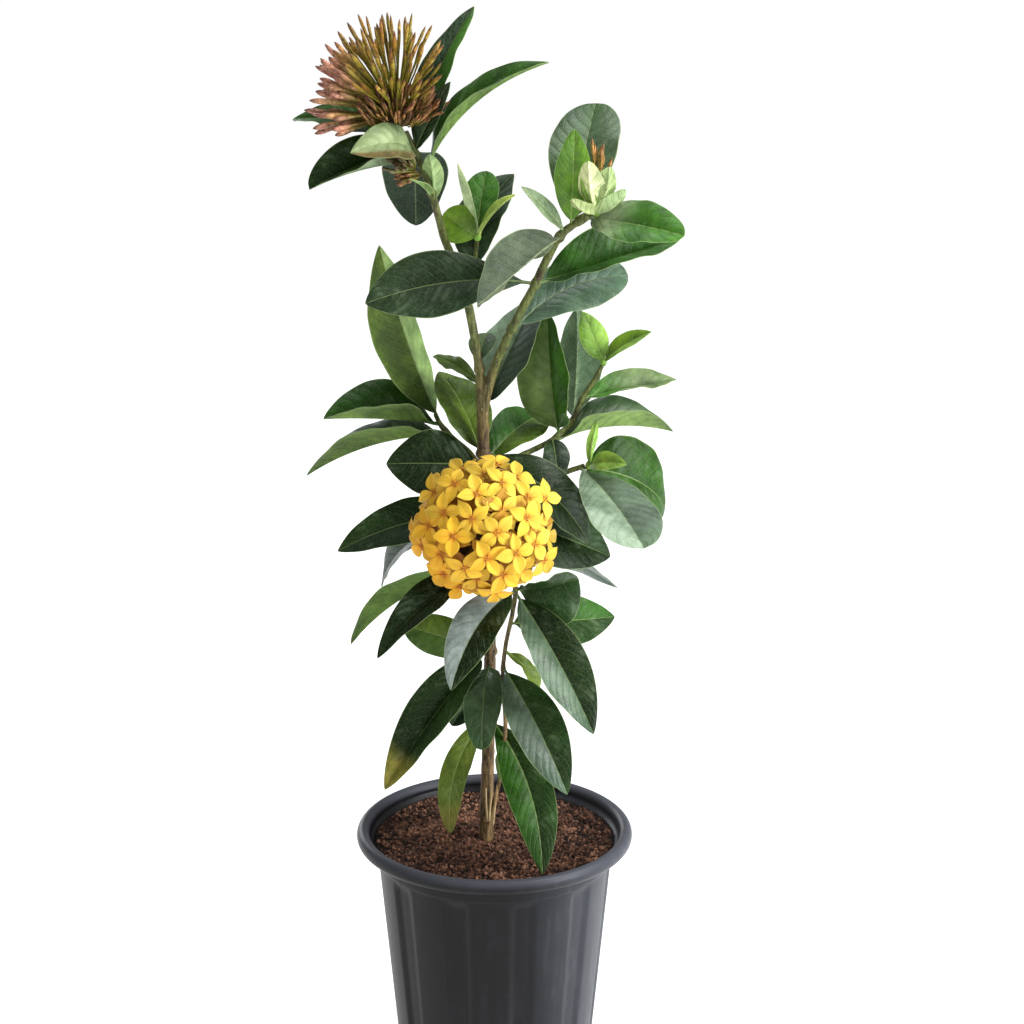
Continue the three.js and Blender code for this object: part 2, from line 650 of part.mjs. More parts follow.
// `crown` is what grows round the head; no bud stands where it is.
function budHeadSolid(crown) {
  const random = seeded(11);
  const centre = vec(BUD_CENTRE);
  const axis = [-0.5, -0.36, 0.79];
  let head = ball(BUD_CORE, BUD_CENTRE);
  for (const out of spread(BUDS, axis, 71)) {
    const reach = BUD_REACH * (0.82 + 0.16 * out.z + 0.16 * random());
    const root = centre.clone().addScaledVector(out, BUD_CORE - 1.5);
    const bud = budSolid(root, centre.clone().addScaledVector(out, reach), 2.5);
    if (bud.intersect(crown).isEmpty()) head = head.add(bud);
  }
  return head;
}

// ---------------------------------------------------------------- colours
const COLOURS = {
  pot: 0x3a3b3e,
  soil: 0x4a3026,
  stem: 0x77664a,
  leaf: 0x2c4a22,
  young: 0x8fae4c,
  petal: 0xf2c02c,
  bud: 0x8a6a3e,
};

const group = new THREE.Group();

function addPiece(name, manifold, colour, roughness = 0.5) {
  const material = new THREE.MeshStandardMaterial({ color: colour, roughness });
  const mesh = new THREE.Mesh(geometryOf(manifold), material);
  mesh.name = name;
  group.add(mesh);
}

addPiece("pot", potSolid(), COLOURS.pot, 0.45);
addPiece("soil", soilSolid(), COLOURS.soil, 0.95);

let stems = null;
for (const stem of Object.values(STEMS)) stems = stems ? stems.add(stemSolid(stem)) : stemSolid(stem);
for (const [stem, height, tip, shape] of STEM_SPROUTS) {
  const foot = STEMS[stem].curve.getPointAt(placeAtHeight(STEMS[stem], height));
  stems = stems.add(leafSolid(foot, vec(tip), { ...shape, ...YOUNG }));
}
addPiece("stem", stems, COLOURS.stem, 0.7);

const crown = [stems];
LEAVES.forEach(([name, stem, height, tip, shape], i) => {
  const leaf = leafOn(STEMS[stem], height, vec(tip), { ...shape, seed: i });
  if (name.startsWith("crown")) crown.push(leaf);
  addPiece(`leaf_${name}`, leaf, COLOURS.leaf, 0.35);
});
for (const tuft of TUFTS) addPiece(tuft.name, tuftSolid(tuft), COLOURS.young, 0.5);
addPiece("flower_head", flowerSolid(), COLOURS.petal, 0.6);
addPiece("bud_head", budHeadSolid(joined(crown)), COLOURS.bud, 0.6);

export default group;
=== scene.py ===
# %% [markdown]
# # A potted ixora
# A forked woody stem stands in potting mix in a fluted nursery pot. It carries 48 large leaves, tufts of
# new leaves, one open flower head and one head of long unopened buds. The measured solids of all these come
# in as a frame that nothing may move. Each cell then dresses one of them in a finer piece of the same form,
# so the plant keeps its size while it gains veins, crumbs and petals. Places and sizes are in millimetres.

import math

import bmesh
import bpy
import numpy as np
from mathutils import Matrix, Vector, noise


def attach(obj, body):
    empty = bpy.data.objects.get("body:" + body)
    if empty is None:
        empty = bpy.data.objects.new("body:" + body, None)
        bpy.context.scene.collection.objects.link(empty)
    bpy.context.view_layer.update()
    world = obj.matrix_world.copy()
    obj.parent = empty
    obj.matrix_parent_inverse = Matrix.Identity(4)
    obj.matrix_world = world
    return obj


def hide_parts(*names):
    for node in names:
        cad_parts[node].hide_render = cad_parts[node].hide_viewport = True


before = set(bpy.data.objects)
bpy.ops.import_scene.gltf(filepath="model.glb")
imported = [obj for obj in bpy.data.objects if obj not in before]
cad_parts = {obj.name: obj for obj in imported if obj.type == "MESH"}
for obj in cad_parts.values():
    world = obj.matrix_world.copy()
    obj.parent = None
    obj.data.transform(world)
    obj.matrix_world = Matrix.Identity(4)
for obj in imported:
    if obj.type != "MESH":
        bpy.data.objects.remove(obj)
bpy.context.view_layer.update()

# %% [markdown]
# ## The camera
# A plant like this is seen from a few steps away through a long lens, so that the pot and the top of the
# plant keep their proportions. The camera looks along +Y and a little down, from 1.9 metres.

# %% Camera
MM = 0.001
CAMERA_PLACE = (12.67, -1900, 1025.79)
CAMERA_TILT = 72.5294  # degrees from straight down
LENS, FILM_WIDTH = 100.07, 36
FARTHEST_SEEN = 50  # metres


def place_camera():
    lens = bpy.data.cameras.new("camera")
    lens.lens, lens.sensor_width, lens.clip_end = LENS, FILM_WIDTH, FARTHEST_SEEN
    camera = bpy.data.objects.new("camera", lens)
    camera.location = tuple(place * MM for place in CAMERA_PLACE)
    camera.rotation_euler = (math.radians(CAMERA_TILT), 0, 0)
    bpy.context.scene.collection.objects.link(camera)
    bpy.context.scene.camera = camera
    return camera


print("camera at", tuple(place_camera().location))

# %% [markdown]
# ## Floor and light
# The studio is a white sweep with five large soft lamps. The strongest stands high on the right, and a cool
# one lower down beside it, so the right side of the pot and the upper faces of the leaves catch a broad
# gloss while the left side stays dark. Others skim the plant from above, from behind and from the front. A
# pale sky fills the shadows. The floor glows a little by itself, as an overexposed sweep does.

# %% Floor and lamps


def build_mesh(name, points, faces, materials=(), kinds=None, smooth=True):
    """A mesh object from points in millimetres; `kinds` picks a material for each face."""
    mesh = bpy.data.meshes.new(name)
    mesh.from_pydata((np.asarray(points) * MM).tolist(), [], faces)
    for material in materials:
        mesh.materials.append(material)
    if kinds is not None:
        mesh.polygons.foreach_set("material_index", np.asarray(kinds, np.int32))
    mesh.polygons.foreach_set("use_smooth", np.full(len(faces), smooth))
    mesh.update()
    piece = bpy.data.objects.new(name, mesh)
    bpy.context.scene.collection.objects.link(piece)
    return piece


def plain_finish(name, colour, roughness, glow=0.0):
    """One even colour that may glow white by itself."""
    material = bpy.data.materials.new(name)
    material.use_nodes = True
    shader = material.node_tree.nodes["Principled BSDF"]
    shader.inputs["Base Color"].default_value = (*colour, 1)
    shader.inputs["Roughness"].default_value = roughness
    shader.inputs["Emission Color"].default_value = (1, 1, 1, 1)
    shader.inputs["Emission Strength"].default_value = glow
    return material


def add_lamp(name, place, target, size, power, colour):
    """A round soft lamp turned to a target."""
    light = bpy.data.lights.new(name, "AREA")
    light.shape = "DISK"
    light.size = size
    light.energy = power
    light.color = colour
    lamp = bpy.data.objects.new(name, light)
    lamp.location = place
    lamp.rotation_euler = (Vector(target) - Vector(place)).to_track_quat("-Z", "Y").to_euler()
    bpy.context.scene.collection.objects.link(lamp)


FLOOR_HALF = 9000
FLOOR_CORNERS = [(x * FLOOR_HALF, y * FLOOR_HALF, 0) for x, y in ((-1, -1), (1, -1), (1, 1), (-1, 1))]
FLOOR_GREY, FLOOR_ROUGHNESS, FLOOR_GLOW = (0.5, 0.5, 0.5), 0.9, 0.82
white_sweep = plain_finish("white_sweep", FLOOR_GREY, FLOOR_ROUGHNESS, FLOOR_GLOW)
floor = build_mesh("floor", FLOOR_CORNERS, [(0, 1, 2, 3)], [white_sweep])

# Each lamp: where it stands and what it is turned to, in metres, its width, its power and its colour.
PLANT_MIDDLE, POT_MIDDLE, MIX_MIDDLE = (0, 0, 0.45), (0, 0, 0.22), (0, 0, 0.19)
WARM, COOL, COOLER, COOLEST = (1.0, 0.99, 0.96), (0.93, 0.97, 1.0), (0.93, 0.96, 1.0), (0.9, 0.94, 1.0)
LAMPS = {
    "key_lamp": ((1.35, -0.35, 1.75), PLANT_MIDDLE, 1.1, 38, WARM),
    "side_lamp": ((1.5, -0.85, 0.6), POT_MIDDLE, 0.7, 26, COOLEST),
    "top_lamp": ((0.1, 0.35, 2.1), PLANT_MIDDLE, 1.2, 18, COOL),
    "back_lamp": ((-0.9, 1.7, 0.75), MIX_MIDDLE, 1.0, 9, COOLER),
    "front_lamp": ((-0.7, -2.2, 1.0), PLANT_MIDDLE, 2.2, 7, WARM),
}
for name, lamp in LAMPS.items():
    add_lamp(name, *lamp)

SKY_COLOUR, SKY_STRENGTH = (1.0, 0.995, 0.98), 0.34
sky = bpy.data.worlds.new("studio_sky")
sky.use_nodes = True
sky.node_tree.nodes["Background"].inputs["Color"].default_value = (*SKY_COLOUR, 1)
sky.node_tree.nodes["Background"].inputs["Strength"].default_value = SKY_STRENGTH
bpy.context.scene.world = sky
bpy.context.scene.view_settings.view_transform = "Standard"
print("lamps:", list(LAMPS))

# %% [markdown]
# ## A notebook for finishes
# Every finish below is made of shader nodes: patterns of noise and cells, mixed into colour, roughness and
# bump. Writing each node and link out in full is long, so a small class keeps one material open and hands
# back sockets that can be joined like values. A number that is the same all over a piece, such as how much
# it mirrors, is set on the shader's own socket.

# %% Finish notebook


def srgb(red, green, blue):
    """A colour given in everyday 0 to 255 steps, as the linear values that a shader wants."""
    steps = np.array([red, green, blue]) / 255
    return tuple(np.where(steps <= 0.04045, steps / 12.92, ((steps + 0.055) / 1.055) ** 2.4).tolist())


class Finish:
    """One material while it is being made. `sockets` are values that are the same all over a piece."""

    def __init__(self, name, **sockets):
        self.material = bpy.data.materials.new(name)
        self.material.use_nodes = True
        self.tree = self.material.node_tree
        self.shader = self.tree.nodes["Principled BSDF"]
        for socket, value in sockets.items():
            self.shader.inputs[socket.replace("_", " ")].default_value = value
        self.place = self.tree.nodes.new("ShaderNodeTexCoord").outputs["Object"]

    def node(self, kind, inputs, **settings):
        made = self.tree.nodes.new("ShaderNode" + kind)
        for setting, value in settings.items():
            setattr(made, setting, value)
        for socket, value in inputs.items():
            if isinstance(value, bpy.types.NodeSocket):
                self.tree.links.new(value, made.inputs[socket])
            else:
                made.inputs[socket].default_value = value
        return made

    def noise(self, scale, detail=3.0, roughness=0.55, place=None):
        inputs = {"Vector": place or self.place, "Scale": scale, "Detail": detail, "Roughness": roughness}
        return self.node("TexNoise", inputs).outputs["Fac"]

    def cells(self, scale, feature="F1", output="Distance"):
        inputs = {"Vector": self.place, "Scale": scale}
        return self.node("TexVoronoi", inputs, feature=feature).outputs[output]

    def stretched(self, x, y, z):
        return self.node("Mapping", {"Vector": self.place, "Scale": (x, y, z)}).outputs["Vector"]

    def flattened(self):
        """The place with its height left out."""
        inputs = {0: self.place, 1: (1.0, 1.0, 0.0)}
        return self.node("VectorMath", inputs, operation="MULTIPLY").outputs["Vector"]

    def value(self, name):
        return self.node("Attribute", {}, attribute_name=name).outputs["Fac"]

    def tint(self, name):
        return self.node("Attribute", {}, attribute_name=name).outputs["Color"]

    def sum(self, kind, a, b=0.0, c=0.0):
        return self.node("Math", {0: a, 1: b, 2: c}, operation=kind).outputs[0]

    def spread(self, value, low, high, to_low=0.0, to_high=1.0):
        """Stretches the part of a value between low and high to a new range, and clips the rest."""
        inputs = {"Value": value, 1: low, 2: high, 3: to_low, 4: to_high}
        return self.node("MapRange", inputs, interpolation_type="SMOOTHSTEP").outputs[0]

    def blend(self, share, a, b, kind="MIX"):
        inputs = {}
        for socket, value in ((0, share), (6, a), (7, b)):
            inputs[socket] = (*value, 1) if isinstance(value, tuple) and len(value) == 3 else value
        return self.node("Mix", inputs, data_type="RGBA", blend_type=kind).outputs[2]

    def done(self, colour, roughness, height, depth):
        """Joins colour, roughness and a bump whose full height is `depth` millimetres."""
        bump = self.node("Bump", {"Height": height, "Distance": depth * MM, "Strength": 1.0})
        for socket, value in (("Base Color", colour), ("Roughness", roughness), ("Normal", bump.outputs[0])):
            self.tree.links.new(value, self.shader.inputs[socket])
        return self.material


print("finish notebook ready")

# %% [markdown]
# ## The pot
# The pot is one blow-moulded shell: a tapering wall with 11 shallow flutes, a plain collar, and a thick
# rolled rim. Turning an outline about the middle gives such a shape at once. The flutes are a dent that
# depends on the angle, eased at its sides, so that light rolls over them. Many small faces keep the rim
# round against the white floor. The plastic is charcoal, with painted light that makes it grey on the
# right side, towards the lamps, and a painted highlight along the top of the rim.

# %% Pot sizes and outline
POT_HEIGHT, RIM_RADIUS, RIM_HALF_WIDTH, RIM_HALF_HEIGHT = 190, 99.75, 4.7, 5.5
BASE_RADIUS, NECK_RADIUS, WALL, POT_FLOOR, COLLAR_HEIGHT = 69, 85.9, 2, 3, 12.5
FLUTES, FLUTE_DEPTH, FLUTE_START, FLUTE_WIDTH = 11, 2.2, 7, 15
COLLAR_STEP = 0.45  # how far the collar stands out from the wall
WALL_RINGS, COLLAR_RINGS, RIM_RINGS, INNER_RINGS = 60, 6, 34, 40
RIM_FROM, RIM_TO = -78, 196  # degrees round the rim's section
NECK = POT_HEIGHT - 2 * RIM_HALF_HEIGHT
RIM_MID = POT_HEIGHT - RIM_HALF_HEIGHT


def wall_radius(height):
    """The plain taper of the wall, without flutes."""
    return BASE_RADIUS + (NECK_RADIUS - BASE_RADIUS) * height / NECK


def ease(value):
    """A soft step from 0 to 1."""
    value = np.clip(value, 0, 1)
    return value * value * (3 - 2 * value)


def pot_outline():
    """[radius, height] from the underside's edge, up the outside, over the rim and down the inside."""
    lip, neck = NECK - COLLAR_HEIGHT, wall_radius(NECK)
    collar = wall_radius(lip) + COLLAR_STEP
    outer = [(BASE_RADIUS - 2, 0), (BASE_RADIUS - 0.6, 0.5), (BASE_RADIUS, 2)]
    outer += [(wall_radius(h), h) for h in np.linspace(4, lip, WALL_RINGS)]
    outer += [(wall_radius(lip) + 0.1, lip + 0.5), (collar, lip + 1.2)]
    outer += [(wall_radius(h) + COLLAR_STEP, h) for h in np.linspace(lip + 2, NECK - 2.6, COLLAR_RINGS)]
    outer += [(neck + 1.3, NECK - 2.2), (neck + 1.4, NECK - 1.3)]
    around = np.radians(np.linspace(RIM_FROM, RIM_TO, RIM_RINGS))
    middle = RIM_RADIUS - RIM_HALF_WIDTH
    rim = [(middle + RIM_HALF_WIDTH * math.cos(a), RIM_MID + RIM_HALF_HEIGHT * math.sin(a)) for a in around]
    flare = [(neck + 2.6, RIM_MID - 3.5), (neck + 1.2, NECK + 0.6), (neck - WALL, NECK - 3)]
    inner = [(wall_radius(h) - WALL, h) for h in np.linspace(NECK - 6, POT_FLOOR, INNER_RINGS)]
    return np.array(outer + rim + flare + inner)


print("outline points:", len(pot_outline()))

# %% Pot shell
POT_SIDES = 440
FLUTE_EASE, FLUTE_RUN_OUT = 0.3, 5  # share of a flute's width, and millimetres at its ends


def flute_dent(angle, height):
    """How far the wall is pressed in at an angle (degrees from the front) and a height."""
    across = ((angle - FLUTE_START) % (360 / FLUTES)) / FLUTE_WIDTH
    within = ease(across / FLUTE_EASE) * ease((1 - across) / FLUTE_EASE)
    along = ease((height - 3) / FLUTE_RUN_OUT) * ease((NECK - COLLAR_HEIGHT - height) / FLUTE_RUN_OUT)
    return FLUTE_DEPTH * within * along


def turn_outline(outline, sides, dent):
    """The points of an outline turned about the upright axis, pressed in by `dent`."""
    angles = np.arange(sides) * 360 / sides
    points = []
    for radius, height in outline:
        r = radius - dent(angles, height)
        a = np.radians(angles)
        points.append(np.stack([r * np.sin(a), -r * np.cos(a), np.full(sides, height)], axis=1))
    return np.concatenate(points)


def ring_faces(rings, size, first=0):
    """Quads between neighbouring closed rings of points."""
    faces = []
    for i in range(rings - 1):
        a, b = first + i * size, first + (i + 1) * size
        faces += [(a + j, a + (j + 1) % size, b + (j + 1) % size, b + j) for j in range(size)]
    return faces


def end_caps(rings, size):
    """The two flat faces that close a tube of rings."""
    return [tuple(reversed(range(size))), tuple(range((rings - 1) * size, rings * size))]


# The first pair: where the painted light on the pot's right side fades in. The second pair: where the painted
# highlight lies on the rim.
LIT_SIDE_FROM, LIT_SIDE_TO = 0.012, 0.085  # metres to the right of the pot's middle
RIM_HIGHLIGHT_FROM, RIM_HIGHLIGHT_TO = 0.1835, 0.189  # metres up, over the top of the rim


def charcoal_plastic():
    """Dark grey moulded plastic: a satin skin with a fine grain, dust and scuffs, painted light on its right
    side and a painted highlight along the top of the rim.
    """
    made = Finish("charcoal_plastic", Specular_IOR_Level=0.17)
    where = made.node("SeparateXYZ", {"Vector": made.place}).outputs
    lit_side = made.spread(where["X"], LIT_SIDE_FROM, LIT_SIDE_TO)
    rim_highlight = made.spread(where["Z"], RIM_HIGHLIGHT_FROM, RIM_HIGHLIGHT_TO)
    streaks = made.noise(14, 5, 0.6, made.stretched(9, 9, 0.7))
    cloud = made.noise(22, 4, 0.6)
    grain = made.noise(2600, 2, 0.6)
    dust = made.spread(made.sum("MULTIPLY", streaks, cloud), 0.2, 0.42)
    scuffs = made.spread(made.noise(160, 4, 0.7, made.stretched(1, 1, 5)), 0.62, 0.74)

    # painted light: the side towards the lamps on the right is a lighter grey
    shaded_side = made.blend(dust, srgb(17, 17, 19), srgb(27, 27, 30))
    sunny_side = made.blend(dust, srgb(58, 60, 66), srgb(76, 78, 85))
    colour = made.blend(lit_side, shaded_side, sunny_side)
    # painted highlight along the top of the rim
    colour = made.blend(made.sum("MULTIPLY", rim_highlight, 0.7), colour, srgb(74, 76, 84))
    colour = made.blend(made.sum("MULTIPLY", scuffs, 0.3), colour, srgb(66, 67, 70))
    shine = made.sum("MULTIPLY_ADD", cloud, 0.14, 0.3)
    shine = made.sum("MULTIPLY_ADD", scuffs, 0.12, shine)
    height = made.sum("MULTIPLY_ADD", grain, 0.3, made.sum("MULTIPLY", streaks, 0.5))
    return made.done(colour, shine, height, 0.1)


outline = pot_outline()
pot_faces = ring_faces(len(outline), POT_SIDES) + end_caps(len(outline), POT_SIDES)
pot_points = turn_outline(outline, POT_SIDES, flute_dent)
pot_shell = build_mesh("pot_shell", pot_points, pot_faces, [charcoal_plastic()])
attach(pot_shell, "root")
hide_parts("pot")
print("pot faces:", len(pot_faces))

# %% [markdown]
# ## Potting mix
# The mix is reddish coco fibre: a crumbly bed that dips and mounds, strewn with loose crumbs and short
# fibres. A single bumpy disc would look like felt from close by, so the bed is displaced by noise and then
# some five thousand separate crumbs and a few hundred fibres are scattered on it. A plain hole runs down
# round the stem's foot.

# %% Bed of mix
SOIL_TOP, SOIL_EDGE, GAP = 182.5, 180.6, 0.3
STEM_FOOT = np.array([-6.0, -6.0])
HOLE_RADIUS, HOLE_DEPTH = 5.6, 50
BED_SIDES, BED_RINGS = 280, 76
BED_RADIUS = 88
ROUGHNESS = [(1.5, 26, 1), (1.5, 8, 2), (1.5, 3.8, 3), (0.8, 1.9, 4)]  # height and width of the lumps, seed
BED_SINK = 0.6  # how far the rough surface lies under the level


def lumps(x, y, size, seed):
    return noise.noise(Vector((x / size, y / size, seed)))


def bed_height(x, y):
    """Height of the bed's surface, with low mounds, clods and grit."""
    far = math.hypot(x, y) / BED_RADIUS
    level = SOIL_TOP + (SOIL_EDGE - SOIL_TOP) * far
    rough = sum(height * lumps(x, y, size, seed) for height, size, seed in ROUGHNESS)
    return level - BED_SINK + rough * min(1.0, (1.04 - far) * 9)


def soil_wall(height):
    """The bed's edge radius beside the pot's inner wall."""
    return min(wall_radius(height) - WALL - FLUTE_DEPTH - GAP, wall_radius(NECK) - WALL - GAP)


def bed_of_mix():
    """Rings up the hole, over the surface, and down the pot's inner wall to its floor."""
    angles = np.arange(BED_SIDES) * 2 * math.pi / BED_SIDES
    compass = np.stack([np.cos(angles), np.sin(angles)], axis=1)
    rings = [[(*(STEM_FOOT + HOLE_RADIUS * c), SOIL_TOP - HOLE_DEPTH) for c in compass]]
    edge = wall_radius(NECK) + 1.2 - GAP
    for share in np.linspace(0, 1, BED_RINGS):
        near = STEM_FOOT + HOLE_RADIUS * compass
        spots = near + (edge * compass - near) * share
        rings.append([(x, y, bed_height(x, y)) for x, y in spots])
    for height in (NECK - 3, NECK - COLLAR_HEIGHT, 90, POT_FLOOR + GAP):
        rings.append([(*(soil_wall(height) * c), height) for c in compass])
    points = [p for ring in rings for p in ring]
    return points, ring_faces(len(rings), BED_SIDES) + end_caps(len(rings), BED_SIDES)


def darker_patches(made, colour):
    """Broad patches of the mix, darker than the rest, spread by noise."""
    darker_mix = made.blend(1.0, colour, (0.46, 0.44, 0.44), "MULTIPLY")
    return made.blend(made.spread(made.noise(24, 3, 0.6), 0.44, 0.62, 0.85, 0), colour, darker_mix)


def coco_mix():
    """Damp coco fibre: dark red-brown, with painted shade that darkens its hollows nearly to black and leaves
    its crests lighter.
    """
    made = Finish("coco_mix", Specular_IOR_Level=0.2)
    clods = made.noise(120, 5, 0.65)
    grit = made.node("SeparateColor", {"Color": made.cells(420, output="Color")}).outputs[0]
    colour = made.blend(made.spread(clods, 0.36, 0.66), srgb(52, 33, 26), srgb(134, 92, 73))
    colour = made.blend(made.spread(grit, 0.72, 0.9, 0, 0.75), colour, srgb(140, 102, 82))
    colour = made.blend(made.spread(grit, 0.0, 0.22, 0.7, 0), colour, srgb(22, 14, 12))
    # painted shade: low places of the bed go nearly black
    colour = made.blend(made.spread(made.value("crest"), -1.6, 0.7, 0.9, 0), colour, srgb(13, 8, 7))
    colour = darker_patches(made, colour)
    rough = made.sum("MULTIPLY_ADD", clods, 0.2, 0.78)
    fine = made.noise(900, 4, 0.7)
    return made.done(colour, rough, made.sum("MULTIPLY_ADD", fine, 0.6, clods), 1.4)


def add_shade(piece, name, values):
    """Keeps one number for each point of a piece, for its finish to read."""
    kept = piece.data.attributes.new(name, "FLOAT", "POINT").data
    kept.foreach_set("value", np.asarray(values, np.float32))


bed_points, bed_faces = bed_of_mix()
bed = build_mesh("bed_of_mix", bed_points, bed_faces, [coco_mix()])
# the crest value is the bed's height against its level, which the finish uses to paint shade in the hollows
add_shade(bed, "crest", [z - SOIL_TOP + 2 * BED_SINK for x, y, z in bed_points])
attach(bed, "root")
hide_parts("soil")
print("bed faces:", len(bed_faces))

# %% Crumbs and fibres
UP = np.array([0.0, 0.0, 1.0])
CRUMBS, FIBRES = 5200, 480
STREWN_RADIUS, FIBRE_LIMIT = 84.5, 85
CRUMB_CORNER = 0.6  # how far a crumb's side corners stand out, as a share of its size
FIBRE_RINGS, FIBRE_SIDES = 5, 3
FIBRE_STEPS = FIBRE_RINGS - 1


def crumb_shape():
    """A small lump with 14 corners: points and triangles of an octahedron whose sides are split."""
    corners = [(1, 0, 0), (-1, 0, 0), (0, 1, 0), (0, -1, 0), (0, 0, 1), (0, 0, -1)]
    sides = [(a, b, c) for a in (1, -1) for b in (1, -1) for c in (1, -1)]
    faces = []
    for i, (a, b, c) in enumerate(sides, start=len(corners)):
        x, y, z = (0 if a > 0 else 1), (2 if b > 0 else 3), (4 if c > 0 else 5)
        for p, q in ((x, y), (y, z), (z, x)):
            faces.append((p, q, i) if a * b * c > 0 else (q, p, i))
    return np.array(corners + [tuple(CRUMB_CORNER * k for k in side) for side in sides]), faces


def gather(parts):
    """Joins (points, faces) parts into one."""
    points, faces, start = [], [], 0
    for some, more in parts:
        points.append(np.asarray(some))
        faces += [tuple(start + k for k in face) for face in more]
        start += len(some)
    return np.vstack(points), faces


def random_turn(random):
    """A rotation matrix with an even spread of directions."""
    q = random.normal(size=4)
    w, x, y, z = q / np.linalg.norm(q)
    return np.array(
        [
            [1 - 2 * (y * y + z * z), 2 * (x * y - z * w), 2 * (x * z + y * w)],
            [2 * (x * y + z * w), 1 - 2 * (x * x + z * z), 2 * (y * z - x * w)],
            [2 * (x * z - y * w), 2 * (y * z + x * w), 1 - 2 * (x * x + y * y)],
        ]
    )


def bed_spot(random):
    """A random place on the bed, outside the stem's hole."""
    while True:
        radius, angle = STREWN_RADIUS * math.sqrt(random.random()), random.random() * 2 * math.pi
        x, y = radius * math.cos(angle), radius * math.sin(angle)
        if np.hypot(*(np.array([x, y]) - STEM_FOOT)) > HOLE_RADIUS + 1.5:
            return x, y


def strew_crumbs(random):
    """Crumbs of many sizes, most of them small, each squashed and turned by chance."""
    shape, triangles = crumb_shape()
    points, faces, shades = [], [], []
    for _ in range(CRUMBS):
        x, y = bed_spot(random)
        size = 0.45 + 1.45 * random.random() ** 2.4
        lump = shape * (1 + 0.35 * (random.random((len(shape), 1)) - 0.5)) * size
        lump = lump * (1, 0.65 + 0.35 * random.random(), 0.55 + 0.3 * random.random())
        lump = lump @ random_turn(random).T
        faces += [tuple(len(points) + k for k in f) for f in triangles]
        points += (lump + (x, y, bed_height(x, y) + 0.2 * size)).tolist()
        shades += [random.random()] * len(shape)
    return points, faces, shades


def strew_fibres(random):
    """Short coco hairs: bent three-sided rods that lie on the bed."""
    points, faces, shades = [], [], []
    for _ in range(FIBRES):
        x, y = bed_spot(random)
        heading, bend = random.random() * 2 * math.pi, (random.random() - 0.5) * 1.6
        length, thick = 2.5 + 5 * random.random(), 0.13 + 0.12 * random.random()
        first = len(points)
        for step in range(FIBRE_RINGS):
            bearing = heading + bend * step / FIBRE_STEPS
            side = np.array([-math.sin(bearing), math.cos(bearing), 0])
            lift = bed_height(x, y) + 0.35 + 0.5 * math.sin(step * math.pi / FIBRE_STEPS)
            for a in np.arange(FIBRE_SIDES) * 2 * math.pi / FIBRE_SIDES:
                points.append(np.array([x, y, lift]) + thick * (math.cos(a) * side + math.sin(a) * UP))
            x, y = x + length / FIBRE_STEPS * math.cos(bearing), y + length / FIBRE_STEPS * math.sin(bearing)
            if math.hypot(x, y) > FIBRE_LIMIT:
                x, y = x * 0.97, y * 0.97
        faces += ring_faces(FIBRE_RINGS, FIBRE_SIDES, first)
        faces += [tuple(first + k for k in cap) for cap in end_caps(FIBRE_RINGS, FIBRE_SIDES)]
        shades += [0.75 + 0.25 * random.random()] * FIBRE_RINGS * FIBRE_SIDES
    return points, faces, shades


def crumb_finish():
    """The same mix seen as separate grains, each a little lighter or darker than its neighbours."""
    made = Finish("mix_crumbs", Specular_IOR_Level=0.2)
    shade = made.value("shade")
    speckle = made.noise(900, 3, 0.6)
    colour = made.blend(made.spread(shade, 0.0, 0.85), srgb(46, 29, 23), srgb(164, 118, 94))
    colour = made.blend(made.spread(shade, 0.84, 1.0, 0, 0.9), colour, srgb(170, 130, 106))
    colour = made.blend(made.spread(speckle, 0.4, 0.62, 0, 0.4), colour, srgb(30, 19, 16))
    colour = darker_patches(made, colour)
    return made.done(colour, made.spread(speckle, 0.2, 0.8, 0.75, 0.95), speckle, 0.3)


random = np.random.default_rng(29)
strewn = [strew_crumbs(random), strew_fibres(random)]
strewn_points, strewn_faces = gather([(points, faces) for points, faces, shades in strewn])
crumbs = build_mesh("crumbs", strewn_points, strewn_faces, [crumb_finish()], smooth=False)
add_shade(crumbs, "shade", strewn[0][2] + strewn[1][2])
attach(crumbs, "root")
print("crumbs and fibres:", CRUMBS, FIBRES)

# %% [markdown]
# ## Stems
# The stems are round shoots, brown and woody low down and olive above, that swell at every leaf joint.
# Each one follows a smooth curve through a few set points, as a bent wire would. A tube swept along the
# curve gives the shoot; a voxel remesh then melts all tubes into one skin, so that the forks flow into each
# other as wood does. Knobs and bends of the skin are shape, and the fine bark comes from the finish.

